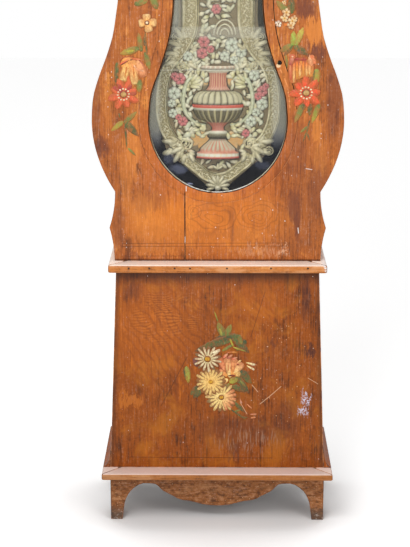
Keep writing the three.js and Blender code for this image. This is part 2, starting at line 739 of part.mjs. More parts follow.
// Glazed door: two halves of a pear shaped frame, rebated behind for the pane
function door() {
  const group = addGroup(clock, 0, 0, trunkZ);
  const front = -trunkReach;
  const back = front + stileThickness;
  const paneFront = back - rebateDepth;
  const ring = cut(
    plate(glassOutline(stileWidth), front, back),
    plate(glassOutline(0), front - cutOverrun, back + cutOverrun),
    plate(glassOutline(rebateWidth), paneFront, back + cutOverrun)
  );
  const wide = bellyHalf;
  const tall = trunkHeight;
  const leftSpace = block(-wide, -plankJoint, front - cutOverrun, back + cutOverrun, 0, tall);
  const rightSpace = block(-plankJoint, wide, front - cutOverrun, back + cutOverrun, 0, tall);
  const keyhole = rodAlongY(
    keyholeRadius, keyholeAcross, keyholeRise, front - cutOverrun, back + cutOverrun, arcSteps
  );
  addPiece(group, 'door_stile_left', common(ring, leftSpace), walnut);
  addPiece(group, 'door_stile_right', cut(common(ring, rightSpace), keyhole), walnut);
  const paneY = paneFront + glassFit * half;
  const paneOutline = glassOutline(rebateWidth - glassFit);
  addPiece(group, 'door_glass', plate(paneOutline, paneY, paneY + glassThickness), pane);

  // Lift off hinges: the case leaf carries the pin, the door leaf has the bored knuckle
  const axisX = -glassNeckHalf - stileWidth - doorGap * half;
  const axisY = front - hingeAxisOut;
  for (const [name, rise] of [['lower', hingeRise], ['upper', hingeRise + hingeSpacing]]) {
    const middle = rise + knuckleLength;
    const top = middle + knuckleLength;
    const leaf = (inner, outer, z0, z1) => block(
      Math.min(inner, outer), Math.max(inner, outer), front - leafThickness, front, z0, z1
    );
    const web = (inner, outer, z0, z1) => block(
      Math.min(inner, outer), Math.max(inner, outer), front - leafThickness * 2, front - leafThickness, z0, z1
    );
    const caseLeaf = join(
      leaf(axisX - leafSetback, axisX - leafWidth, rise, middle - hingeFit),
      web(axisX - hingePinRadius, axisX - leafSetback * 2, rise, middle - hingeFit),
      rodAlongZ(knuckleRadius, axisX, axisY, rise, middle - hingeFit, arcSteps),
      rodAlongZ(hingePinRadius, axisX, axisY, rise + hingeFit, top - leafSetback, arcSteps)
    );
    const doorLeaf = cut(
      join(
        leaf(axisX + leafSetback, axisX + leafWidth, middle, top),
        web(axisX + hingePinRadius, axisX + leafSetback * 2, middle, top),
        rodAlongZ(knuckleRadius, axisX, axisY, middle, top, arcSteps)
      ),
      rodAlongZ(
        hingePinRadius + hingeFit, axisX, axisY, middle - cutOverrun, top - leafSetback + hingeFit, arcSteps
      )
    );
    addPiece(group, `door_hinge_${name}_case_leaf`, caseLeaf, iron);
    addPiece(group, `door_hinge_${name}_door_leaf`, doorLeaf, iron);
  }

  // Lock on the back of the stile, turned to follow the stile's slope, with its bolt drawn back
  const lock = addGroup(group, keyholeAcross, back, keyholeRise);
  lock.rotation.y = -lockTilt * degree;
  const caseHalf = lockWidth * half;
  const boltHalf = boltHeight * half;
  const body = block(-caseHalf, caseHalf, 0, lockDepth, -lockHeight * half, lockHeight * half);
  const channel = block(
    caseHalf - boltLength - seatFit, caseHalf + cutOverrun, boltRecess - seatFit,
    boltRecess + boltThickness + seatFit, -boltHalf - seatFit, boltHalf + seatFit
  );
  const keyBore = rodAlongY(
    keyholeRadius * half, -caseHalf * half, 0, -cutOverrun, lockDepth * half, arcSteps
  );
  addPiece(lock, 'lock_case', cut(body, channel, keyBore), iron);
  addPiece(lock, 'lock_bolt', block(
    caseHalf - boltLength, caseHalf, boltRecess, boltRecess + boltThickness, -boltHalf, boltHalf
  ), brass);
}

// Hood: base moulding, two sides, a glazed door across the whole front, and the cornice over all
function hood() {
  const mouldingOuter = hoodBaseHalf;
  const mouldingInner = hoodBaseHalf - hoodBaseSideWidth;
  const frontInner = -trunkReach + trunkFrontBoard - cutOverrun;
  const ring = cut(
    block(-mouldingOuter, mouldingOuter, -hoodBaseReach, innerBack, trunkTopZ, hoodZ),
    block(
      -mouldingInner, mouldingInner, frontInner, innerBack + cutOverrun,
      trunkTopZ - cutOverrun, hoodZ + cutOverrun
    )
  );
  const pivotX = -hoodDoorHalf + hoodPivotInset;
  const pivotY = -hoodDoorReach + hoodDoorThickness * half;
  const doorBottom = hoodZ + hoodDoorClearance;
  const doorTop = corniceZ - hoodDoorClearance;
  const pivotHole = (z0, z1) => rodAlongZ(hoodPivotRadius + hoodPivotFit, pivotX, pivotY, z0, z1, arcSteps);
  const lowerHole = pivotHole(doorBottom - hoodPivotLength - hoodPivotFit, hoodZ + cutOverrun);
  addPiece(clock, 'hood_base_moulding', cut(ring, lowerHole), moulding);

  const sideFront = -hoodDoorReach + hoodDoorThickness + hoodSwingGap;
  for (const [name, side] of [['left', -1], ['right', 1]]) {
    const [x0, x1] = [side * (hoodHalf - hoodBoard), side * hoodHalf].sort((a, b) => a - b);
    addPiece(clock, `hood_${name}_side`, block(x0, x1, sideFront, innerBack, hoodZ, corniceZ), walnut);
  }

  // Cornice: one block stepped out on the front and both flanks, hollow below
  const rows = corniceStepShares.map(([outShare, upShare]) => {
    const out = outShare * corniceHalf;
    return [corniceHalf + out, corniceReach + out, corniceZ + upShare * corniceHeight];
  });
  const positions = rows.flatMap(([x, y, z]) => [-x, -y, z, x, -y, z, x, backReach, z, -x, backReach, z]);
  const index = [0, 2, 1, 0, 3, 2];
  for (let row = 0; row + 1 < rows.length; row += 1) {
    for (let k = 0; k < 4; k += 1) {
      const a = row * 4 + k;
      const b = row * 4 + ((k + 1) % 4);
      index.push(a, b, a + 4, b, b + 4, a + 4);
    }
  }
  const last = (rows.length - 1) * 4;
  index.push(last, last + 1, last + 2, last, last + 2, last + 3);
  const loft = new THREE.BufferGeometry();
  loft.setAttribute('position', new THREE.Float32BufferAttribute(positions, 3));
  loft.setIndex(index);
  const innerHalf = hoodHalf - hoodBoard;
  const hollow = block(
    -innerHalf, innerHalf, -hoodDoorReach + hoodDoorThickness, innerBack - cutOverrun,
    corniceZ - cutOverrun, corniceZ + corniceInnerHeight
  );
  const upperHole = pivotHole(corniceZ - cutOverrun, doorTop + hoodPivotLength + hoodPivotFit);
  addPiece(clock, 'hood_cornice', cut(loft, hollow, upperHole), moulding);

  // Door with its two pivots turned on the left stile
  const [y0, y1] = [-hoodDoorReach, -hoodDoorReach + hoodDoorThickness];
  const openHalf = hoodDoorHalf - hoodRail;
  const [openBottom, openTop] = [doorBottom + hoodRail, doorTop - hoodRail];
  const lapHalf = openHalf + hoodPaneLap;
  const pivot = (z) => rodAlongZ(
    hoodPivotRadius, pivotX, pivotY, z - hoodPivotLength, z + hoodPivotLength, arcSteps
  );
  const frame = join(
    cut(
      block(-hoodDoorHalf, hoodDoorHalf, y0, y1, doorBottom, doorTop),
      block(-openHalf, openHalf, y0 - cutOverrun, y1 + cutOverrun, openBottom, openTop),
      block(-lapHalf, lapHalf, y0 + hoodDoorThickness * half, y1 + cutOverrun,
        openBottom - hoodPaneLap, openTop + hoodPaneLap)
    ),
    pivot(doorBottom),
    pivot(doorTop)
  );
  addPiece(clock, 'hood_door_frame', frame, walnut);
  const paneY = y0 + hoodDoorThickness * half + glassFit * half;
  addPiece(clock, 'hood_door_glass', block(
    -lapHalf + glassFit, lapHalf - glassFit, paneY, paneY + hoodPaneThickness,
    openBottom - hoodPaneLap + glassFit, openTop + hoodPaneLap - glassFit
  ), pane);
  const knobX = hoodDoorHalf - hoodRail * half;
  const knobSection = hoodKnobShares.map(([out, up]) => [out * hoodKnobRadius, up * hoodKnobLength]);
  const knob = turned(knobSection, arcSteps);
  knob.rotateX(quarterTurn).translate(knobX, y0, (doorBottom + doorTop) * half);
  addPiece(clock, 'hood_door_knob', knob, brass);
}

// A wheel with round crossings, on its arbor, which lies along Y
function crossedWheel(radius, x, z, y0, toothDepth = 0) {
  const rim = [];
  const count = toothDepth > 0 ? wheelCounts.teeth * 2 : wheelCounts.wheel;
  for (let i = 0; i < count; i += 1) {
    const angle = (i / count) * Math.PI * 2;
    const r = toothDepth > 0 && i % 2 === 1 ? radius - toothDepth : radius;
    rim.push(new THREE.Vector2(x + r * Math.cos(angle), z + r * Math.sin(angle)));
  }
  const crossingRadius = radius * crossingRadiusShare;
  const holes = [];
  for (let i = 0; i < wheelCounts.crossings; i += 1) {
    const angle = ((i + half) / wheelCounts.crossings) * Math.PI * 2;
    const out = radius * crossingOutShare;
    holes.push(circle(crossingRadius, x + out * Math.cos(angle), z + out * Math.sin(angle), arcSteps));
  }
  return plate(rim, y0, y0 + wheelThickness, holes);
}

// Movement: bottom and top plates, a front frame with a bridge behind it, and a back frame
function movement() {
  const group = addGroup(clock, 0, 0, trunkTopZ);
  const back = cageFront + cageDepth;
  const cordHole = (side) => {
    const x = side * (barrelAcross + drumRadius + cordRadius);
    return block(x - cordSlotHalf, x + cordSlotHalf, weightDepth - cordSlotHalf, weightDepth + cordSlotHalf,
      -cutOverrun, cagePlate + cutOverrun);
  };
  const bottom = block(-cageHalf, cageHalf, cageFront, back, 0, cagePlate);
  addPiece(group, 'movement_bottom_plate', cut(bottom, cordHole(-1), cordHole(1)), iron);
  const topZ = cageHeight - cagePlate;
  addPiece(group, 'movement_top_plate', block(-cageHalf, cageHalf, cageFront, back, topZ, cageHeight), iron);

  const bearing = (radius, x, z, y0, y1) => rodAlongY(
    radius + runningFit, x, z, y0 - cutOverrun, y1 + cutOverrun, wheelCounts.arbor
  );
  const window = (x0, x1, y0, y1) => block(x0, x1, y0 - cutOverrun, y1 + cutOverrun,
    cagePlate + frameEdge, topZ - frameEdge);
  const windows = (y0, y1) => {
    const barIn = barrelAcross - pivotBarHalf;
    const barOut = barrelAcross + pivotBarHalf;
    return [-1, 1].flatMap((side) => [
      [side * pivotBarHalf, side * barIn], [side * barOut, side * (cageHalf - frameEdge)]
    ]).map(([a, b]) => window(Math.min(a, b), Math.max(a, b), y0, y1));
  };
  const barrelBearings = (y0, y1) => [-1, 1].map(
    (side) => bearing(barrelArborRadius, side * barrelAcross, barrelRise, y0, y1)
  );

  const frontBack = cageFront + frameBar;
  const frontPlate = block(-cageHalf, cageHalf, cageFront, frontBack, cagePlate, topZ);
  const bridgeFront = frontBack + bridgeGap;
  const bridgeBack = bridgeFront + bridgeThickness;
  const bridgeBottom = cagePlate + frameEdge * half;
  const bridgeTop = topZ - frameEdge * half;
  const extras = [block(-bridgeHalf, bridgeHalf, bridgeFront, bridgeBack, bridgeBottom, bridgeTop)];
  for (const side of [-1, 1]) {
    for (const z of [bridgeBottom + bridgePost, bridgeTop - bridgePost]) {
      extras.push(rodAlongY(
        bridgePost, side * (bridgeHalf - bridgePost), z, cageFront + bridgePostLap,
        bridgeFront + bridgePostLap, arcSteps
      ));
    }
    for (const share of dialPillarShares) {
      extras.push(rodAlongY(
        dialPillarRadius, side * (cageHalf - frameEdge * half), share * cageHeight,
        -dialOut + surroundThickness, cageFront + frameBar * half, arcSteps
      ));
    }
  }
  extras.push(rodAlongY(
    studRadius, 0, suspensionRise, -pendulumPlane - rodThickness * 2, cageFront + frameBar * half, arcSteps
  ));
  const frontFrame = cut(
    join(cut(frontPlate, ...windows(cageFront, frontBack)), ...extras),
    ...barrelBearings(cageFront, frontBack),
    bearing(centreArborRadius, 0, dialRise, cageFront, bridgeBack),
    bearing(arborRadius, thirdAcross, thirdRise, frontBack + cutOverrun, bridgeBack),
    bearing(arborRadius, 0, escapeRise, cageFront, bridgeBack),
    bearing(arborRadius, 0, anchorRise, cageFront, bridgeBack)
  );
  addPiece(group, 'movement_front_frame', frontFrame, iron);
  const backPlate = block(-cageHalf, cageHalf, back - frameBar, back, cagePlate, topZ);
  addPiece(group, 'movement_back_frame', cut(
    backPlate, ...windows(back - frameBar, back), ...barrelBearings(back - frameBar, back),
    bearing(centreArborRadius, 0, dialRise, back - frameBar, back)
  ), iron);

  // Barrels: drum, flanges, great wheel and winding arbor
  for (const [name, side, radius] of [['strike', -1, strikeWheelRadius], ['going', 1, greatWheelRadius]]) {
    const x = side * barrelAcross;
    const drumBack = drumFront + drumLength;
    const flangeRadius = drumRadius + drumFlangeLip;
    const barrel = join(
      rodAlongY(barrelArborRadius, x, barrelRise, -dialOut + surroundThickness, back, wheelCounts.arbor),
      rodAlongY(drumRadius, x, barrelRise, drumFront, drumBack, wheelCounts.drum),
      rodAlongY(flangeRadius, x, barrelRise, drumFront - drumFlange, drumFront, wheelCounts.drum),
      rodAlongY(flangeRadius, x, barrelRise, drumBack - drumFlange, greatWheelFront, wheelCounts.drum),
      crossedWheel(radius, x, barrelRise, greatWheelFront)
    );
    addPiece(group, `${name}_barrel`, barrel, brass);
  }

  const pinionLap = wheelThickness;
  const pinion = (radius, x, z, y0) => rodAlongY(
    radius, x, z, y0 - pinionLap * half, y0 + wheelThickness + pinionLap * half, wheelCounts.pinion
  );
  addPiece(group, 'centre_wheel', join(
    rodAlongY(centreArborRadius, 0, dialRise, -dialOut + surroundThickness * 2, back, wheelCounts.arbor),
    pinion(centrePinionRadius, 0, dialRise, greatWheelFront),
    crossedWheel(centreWheelRadius, 0, dialRise, centreWheelFront)
  ), brass);
  addPiece(group, 'third_wheel', join(
    rodAlongY(arborRadius, thirdAcross, thirdRise, frontBack + runningFit, bridgeBack, wheelCounts.arbor),
    pinion(thirdPinionRadius, thirdAcross, thirdRise, centreWheelFront),
    crossedWheel(thirdWheelRadius, thirdAcross, thirdRise, thirdWheelFront)
  ), brass);
  addPiece(group, 'escape_wheel', join(
    rodAlongY(arborRadius, 0, escapeRise, cageFront, bridgeBack, wheelCounts.arbor),
    pinion(escapePinionRadius, 0, escapeRise, thirdWheelFront),
    crossedWheel(escapeWheelRadius, 0, escapeRise, escapeWheelFront, escapeToothDepth)
  ), brass);
  anchorAndCrutch(group, bridgeBack);
  bellAndHammer(addGroup(group, 0, 0, cageHeight));
}

// Anchor under the escape wheel, with the crutch in front whose fork takes the pendulum's rod
function anchorAndCrutch(group, bridgeBack) {
  const outline = vectors([
    [-anchorArm, 0], [0, -anchorArm], [anchorArm, 0], [anchorSpan, anchorLift - anchorArm],
    [anchorSpan, anchorLift], [anchorSpan - anchorArm, anchorLift - anchorArm * anchorHookShare],
    [0, anchorArm],
    [-anchorSpan + anchorArm, anchorLift - anchorArm * anchorHookShare], [-anchorSpan, anchorLift],
    [-anchorSpan, anchorLift - anchorArm]
  ].map(([x, z]) => [x, anchorRise + z]));
  const crutchY = cageFront - crutchThickness - runningFit;
  const crutchEnd = anchorRise - crutchLength;
  const prong = (side) => block(
    Math.min(side * forkGap * half, side * (forkGap * half + forkProng)),
    Math.max(side * forkGap * half, side * (forkGap * half + forkProng)),
    crutchY - forkReach, crutchY + crutchThickness, crutchEnd - crutchWidth, crutchEnd
  );
  addPiece(group, 'anchor', join(
    rodAlongY(arborRadius, 0, anchorRise, crutchY, bridgeBack, wheelCounts.arbor),
    plate(outline, escapeWheelFront, escapeWheelFront + wheelThickness),
    block(
      -crutchWidth * half, crutchWidth * half, crutchY, crutchY + crutchThickness,
      crutchEnd, anchorRise + crutchWidth
    ),
    block(
      -forkGap * half - forkProng, forkGap * half + forkProng, crutchY, crutchY + crutchThickness,
      crutchEnd - crutchWidth, crutchEnd + crutchWidth
    ),
    prong(-1), prong(1)
  ), iron);
}

// Bell on its post over the top plate, and the hammer on an upright arbor beside it
function bellAndHammer(group) {
  const centreY = cageFront + cageDepth * half;
  const outer = [];
  const inner = [];
  for (let i = 0; i <= arcSteps * half; i += 1) {
    const angle = (i / (arcSteps * half)) * bellArc * degree;
    const [out, up] = [Math.cos(angle), Math.sin(angle)];
    outer.push([bellRadius * out, bellRise + bellHeight * up]);
    inner.push([(bellRadius - bellWall) * out, bellRise + (bellHeight - bellWall) * up]);
  }
  const crown = bellRise + bellHeight + bellWall;
  const bell = turned([
    [0, 0], [bellPostRadius, 0], [bellPostRadius, bellRise + (bellHeight - bellWall) * bellPostShare],
    ...inner.reverse(), ...outer, [bellPostRadius, crown], [0, crown]
  ], wheelCounts.drum).translate(0, centreY, 0);
  addPiece(group, 'bell', bell, brass);

  const headX = bellRadius + hammerGap + hammerHeadLength * half;
  const headZ = bellRise + hammerHeadRadius;
  const head = new THREE.CylinderGeometry(hammerHeadRadius, hammerHeadRadius, hammerHeadLength, arcSteps);
  head.rotateZ(quarterTurn).translate(headX, centreY, headZ);
  const postY = cageFront + cageDepth - frameEdge;
  addPiece(group, 'hammer', join(
    head,
    block(
      headX - hammerArm * half, headX + hammerArm * half, centreY, postY,
      headZ - hammerArm * half, headZ + hammerArm * half
    ),
    block(
      headX, hammerAcross, postY - hammerArm * half, postY + hammerArm * half,
      headZ - hammerArm * half, headZ + hammerArm * half
    ),
    rodAlongZ(hammerPostRadius, hammerAcross, postY, runningFit, headZ + hammerHeadRadius, arcSteps)
  ), iron);
}

// A hand with a pipe round its arbor, pointing up
function hand(length, pipeRadius, boreRadius, y0, pipeBack) {
  const [tailOut, tailDown] = handTailShares.map((share) => share * pipeRadius);
  const right = vectors([
    [tailOut, -tailDown], ...handShares.map(([out, up]) => [out * pipeRadius, up * length])
  ]);
  const outline = [...right, ...mirrored(right).slice(1)];
  return cut(
    join(plate(outline, y0, y0 + handThickness), rodAlongY(pipeRadius, 0, 0, y0, pipeBack, arcSteps)),
    rodAlongY(boreRadius, 0, 0, y0 - cutOverrun, pipeBack + cutOverrun, arcSteps)
  );
}

// Enamel dial on a pressed brass surround with an arched head, carried by the cage's four pillars
function dialWork() {
  const group = addGroup(clock, 0, 0, trunkTopZ);
  const bottom = dialRise - surroundBottom;
  const shoulder = dialRise + surroundShoulder;
  const top = dialRise + surroundTop;
  const arch = [];
  for (let i = 0; i <= arcSteps; i += 1) {
    const angle = (i / arcSteps) * Math.PI;
    arch.push([
      surroundHalf * surroundArchShare * Math.cos(angle), shoulder + (top - shoulder) * Math.sin(angle)
    ]);
  }
  const outline = vectors([
    [-surroundHalf, bottom], [surroundHalf, bottom], [surroundHalf, shoulder], ...arch,
    [-surroundHalf, shoulder]
  ]);
  const winding = (y0, y1) => [-1, 1].map((side) => rodAlongY(
    windingHole, side * barrelAcross, barrelRise, y0 - cutOverrun, y1 + cutOverrun, arcSteps
  ));
  const dialOpening = circle(surroundHole, 0, dialRise, wheelCounts.wheel);
  const surround = cut(
    plate(outline, -dialOut, -dialOut + surroundThickness, [dialOpening]),
    ...winding(-dialOut, -dialOut + surroundThickness)
  );
  addPiece(group, 'dial_surround', surround, pressedBrass);
  const dialDepth = dialThickness + dialBulge;
  const disc = turned([
    [dialHole, 0], ...dialSectionShares.map(([out, forward]) => [out * dialRadius, forward * dialDepth]),
    [dialHole, dialDepth], [dialHole, 0]
  ], wheelCounts.wheel).rotateX(quarterTurn).translate(0, -dialOut, dialRise);
  addPiece(group, 'dial', cut(disc, ...winding(-dialOut - dialDepth, -dialOut)), enamel);

  const hourY = -dialOut - dialDepth - handSpacing;
  const minuteY = hourY - handSpacing;
  const pipeBack = -dialOut + surroundThickness * half;
  const hands = addGroup(group, 0, 0, dialRise);
  const hourHand = hand(hourHandLength, hourPipe, minutePipe + pipeFit, hourY, pipeBack);
  addPiece(hands, 'hour_hand', hourHand, brass).rotation.y = restHourAngle * degree;
  const minuteHand = hand(
    minuteHandLength, minutePipe, centreArborRadius + pipeFit, minuteY, pipeBack + handSpacing
  );
  addPiece(hands, 'minute_hand', minuteHand, brass).rotation.y = restMinuteAngle * degree;
}

// Two cast weights, each on a cord that leaves the outer side of its drum
function weights() {
  for (const [name, side] of [['strike', -1], ['going', 1]]) {
    const x = side * (barrelAcross + drumRadius + cordRadius);
    const top = trunkTopZ - weightTopDrop;
    const group = addGroup(clock, x, weightDepth, top);
    const weight = turned([
      [0, -weightLength], ...weightShares.map(([out, down]) => [out * weightRadius, -down * weightLength]),
      [weightHookRadius, 0], [weightHookRadius, weightHookLength], [0, weightHookLength]
    ], wheelCounts.drum);
    addPiece(group, `${name}_weight`, weight, castIron);
    const cordTop = weightTopDrop + barrelRise;
    addPiece(group, `${name}_cord`, rodAlongZ(
      cordRadius, 0, 0, weightHookLength, cordTop, wheelCounts.cord
    ), cord);
  }
}

// Pendulum: an iron rod with a lead bob behind, and two pressed brass plates in front
function pendulum() {
  const group = addGroup(clock, 0, -pendulumPlane, trunkTopZ + suspensionRise);
  const rodFront = -rodThickness * half;
  const rodBack = rodThickness * half;
  const rod = cut(
    join(
      rodAlongY(eyeRadius, 0, 0, rodFront, rodBack, arcSteps),
      block(-rodWidth * half, rodWidth * half, rodFront, rodBack, -bobDrop, 0),
      rodAlongY(bobRadius, 0, -bobDrop, rodFront, rodFront + bobThickness, wheelCounts.drum)
    ),
    rodAlongY(studRadius + studFit, 0, 0, rodFront - cutOverrun, rodBack + cutOverrun, arcSteps)
  );
  addPiece(group, 'pendulum_rod', rod, iron);

  const plateTop = -pendulumPlateDrop + pendulumPlateHeight;
  const right = smooth(plateOutlineShares.map(([x, down]) => [
    x * pendulumPlateHalf, plateTop - down * pendulumPlateHeight
  ]), arcSteps * 3).reverse();
  const sheetFront = rodFront - pendulumSheet;
  const oval = (scaleShare, y0, y1) => {
    const middle = plateTop - pendulumPlateHeight * rimMiddleShare;
    const points = [];
    for (let i = 0; i < wheelCounts.drum; i += 1) {
      const angle = (i / wheelCounts.drum) * Math.PI * 2;
      points.push([
        pendulumPlateHalf * scaleShare * Math.cos(angle),
        middle + pendulumPlateHeight * rimHeightShare * scaleShare * Math.sin(angle)
      ]);
    }
    return plate(vectors(points), y0, y1);
  };
  const rim = cut(
    oval(rimHalfShare, sheetFront - rimRelief, sheetFront + pendulumSheet * half),
    oval(rimHalfShare - rimWidthShare, sheetFront - rimRelief - cutOverrun, sheetFront + cutOverrun)
  );
  const urnHalf = urnShares.map(([x, down]) => [
    x * pendulumPlateHalf * half, plateTop - down * pendulumPlateHeight
  ]).reverse();
  const flatten = urnRelief / (pendulumPlateHalf * half * urnWidestShare);
  const urn = turned(urnHalf, arcSteps).rotateZ(Math.PI / arcSteps).scale(1, flatten, 1);
  const relief = common(
    urn.translate(0, sheetFront, 0),
    block(
      -pendulumPlateHalf, pendulumPlateHalf, sheetFront - urnRelief - cutOverrun,
      sheetFront + pendulumSheet * half, -pendulumPlateDrop, plateTop
    )
  );
  const face = join(plate(closedBoth(right), sheetFront, rodFront), rim, relief);
  addPiece(group, 'pendulum_lower_plate', face, pressedBrass);

  const upperTop = plateTop + pendulumUpperHeight;
  const upperFoot = plateTop + seatFit;
  const upperRise = (share) => upperFoot + share * (upperTop - upperFoot);
  const taper = vectors([
    ...upperTaperShares.map(([out, up]) => [out * pendulumUpperHalf, upperRise(up)]),
    ...upperCrownShares.map(([out, up]) => [out * pendulumUpperTopHalf, upperRise(up)])
  ]);
  addPiece(group, 'pendulum_upper_plate', plate(closedBoth(taper), sheetFront, rodFront), pressedBrass);
}

plinth();
addShelfMoulding(clock, 'lower_moulding', {
  half: lowerMouldingHalf,
  reach: lowerMouldingReach,
  back: backReach,
  thickness: lowerMouldingThickness,
  frontWidth: lowerMouldingFrontWidth,
  sideWidth: lowerMouldingSideWidth,
  z: lowerMouldingZ
}, moulding);
baseBox();
addShelfMoulding(clock, 'waist_moulding', {
  half: waistMouldingHalf,
  reach: waistMouldingReach,
  back: backReach,
  thickness: waistMouldingThickness,
  frontWidth: waistMouldingFrontWidth,
  sideWidth: waistMouldingSideWidth,
  z: waistZ
}, moulding);
trunk();
seatBoard();
door();
hood();
movement();
dialWork();
weights();
pendulum();

export default clock;
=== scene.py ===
# Looks of a comtoise longcase clock: painted faux grain case with folk flowers, glazed door and pressed
# brass pendulum, hood with enamel dial, iron movement. Metres, +Z up, the front faces -Y.
import json
import math
import random

import bmesh
import bpy
from mathutils import Matrix, Vector
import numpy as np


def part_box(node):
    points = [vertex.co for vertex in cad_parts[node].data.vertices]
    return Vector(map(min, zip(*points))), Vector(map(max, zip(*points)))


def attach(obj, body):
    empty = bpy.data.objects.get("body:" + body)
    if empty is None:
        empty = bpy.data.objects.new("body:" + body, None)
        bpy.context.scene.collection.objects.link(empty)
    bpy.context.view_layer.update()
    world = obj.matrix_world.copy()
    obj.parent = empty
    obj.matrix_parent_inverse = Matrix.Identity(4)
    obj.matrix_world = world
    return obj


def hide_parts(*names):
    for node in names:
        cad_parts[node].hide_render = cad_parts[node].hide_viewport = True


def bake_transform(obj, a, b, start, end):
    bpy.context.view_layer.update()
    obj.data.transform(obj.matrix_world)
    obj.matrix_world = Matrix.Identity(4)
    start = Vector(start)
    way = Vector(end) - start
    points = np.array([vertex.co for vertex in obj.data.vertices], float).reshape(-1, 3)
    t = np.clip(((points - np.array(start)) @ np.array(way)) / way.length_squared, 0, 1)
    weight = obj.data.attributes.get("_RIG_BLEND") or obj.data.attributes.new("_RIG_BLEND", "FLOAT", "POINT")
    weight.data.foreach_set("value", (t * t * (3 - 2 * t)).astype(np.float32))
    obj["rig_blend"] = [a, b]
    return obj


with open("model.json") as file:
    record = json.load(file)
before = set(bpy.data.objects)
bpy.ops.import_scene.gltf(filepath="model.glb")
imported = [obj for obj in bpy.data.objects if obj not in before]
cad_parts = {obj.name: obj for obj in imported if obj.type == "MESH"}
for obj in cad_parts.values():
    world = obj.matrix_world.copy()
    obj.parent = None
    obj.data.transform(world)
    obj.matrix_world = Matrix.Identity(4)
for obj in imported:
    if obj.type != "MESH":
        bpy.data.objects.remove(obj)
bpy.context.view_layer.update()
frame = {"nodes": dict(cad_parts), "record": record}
nodes = frame["nodes"]
home = {n: body for body, members in frame["record"]["behaviour"]["bodies"].items() for n in members}

# Front planes of the case and of what it holds, in metres
BASE_FRONT = -0.104
TRUNK_FRONT = -0.086
SHELF_FRONT = -0.124
PANE_FRONT = -0.078
PUTTY_BACK = -0.0777
PENDULUM_FRONT = -0.019
DIAL_MIDDLE = Vector((0, -0.066, 2.010))

# Camera: the photo's pixels fix its height, its tilt and its distance
EYE = Vector((0, -3.286, 1.450))
TILT = math.radians(15.29)
TURN = math.radians(0.484)
FOCAL_PIXELS = 1538
PHOTO_SIZE = (410, 547)
SENSOR = 36
MIDDLE_COLUMN = 218


def spot(u, v, front):
    """The place (x, z) on the upright plane y = front that shows at pixel u, v of the photo."""
    across = (u - PHOTO_SIZE[0] / 2) / FOCAL_PIXELS
    down = (v - PHOTO_SIZE[1] / 2) / FOCAL_PIXELS
    ray = Matrix.Rotation(TURN, 3, "Z") @ Matrix.Rotation(-TILT, 3, "X") @ Vector((across, 1, -down))
    hit = EYE + ray * ((front - EYE.y) / ray.y)
    return hit.x, hit.z


def pixel_size(front):
    """How many metres one pixel covers across and upright on the plane y = front, near the belly."""
    left, right = spot(200, 200, front), spot(201, 201, front)
    return right[0] - left[0], left[1] - right[1]


def set_camera():
    bpy.ops.object.camera_add(location=EYE, rotation=(math.pi / 2 - TILT, 0, TURN))
    camera = bpy.context.object
    camera.data.sensor_fit = "VERTICAL"
    camera.data.sensor_height = SENSOR
    camera.data.lens = FOCAL_PIXELS / PHOTO_SIZE[1] * SENSOR
    bpy.context.scene.camera = camera


set_camera()


def srgb(red, green, blue):
    """A colour as it is seen, 0 to 255 a channel, as shader values."""
    def linear(c):
        c /= 255
        return c / 12.92 if c <= 0.04045 else ((c + 0.055) / 1.055) ** 2.4
    return tuple(linear(c) for c in (red, green, blue))


# ---------------------------------------------------------------- finishes
def operator(kind, swapped=False):
    """A Python operator on values that adds a Math node."""
    def act(self, other=0.0):
        first, second = (other, self) if swapped else (self, other)
        return self.finish.node("ShaderNodeMath", {"operation": kind}, {0: first, 1: second})
    return act


class Value:
    """A socket of a finish. Arithmetic on it adds Math nodes."""

    def __init__(self, finish, socket):
        self.finish = finish
        self.socket = socket

    __add__, __radd__ = operator("ADD"), operator("ADD", True)
    __sub__, __rsub__ = operator("SUBTRACT"), operator("SUBTRACT", True)
    __mul__, __rmul__ = operator("MULTIPLY"), operator("MULTIPLY", True)
    __abs__ = operator("ABSOLUTE")
    above, below, part = operator("MAXIMUM"), operator("MINIMUM"), operator("FRACT")


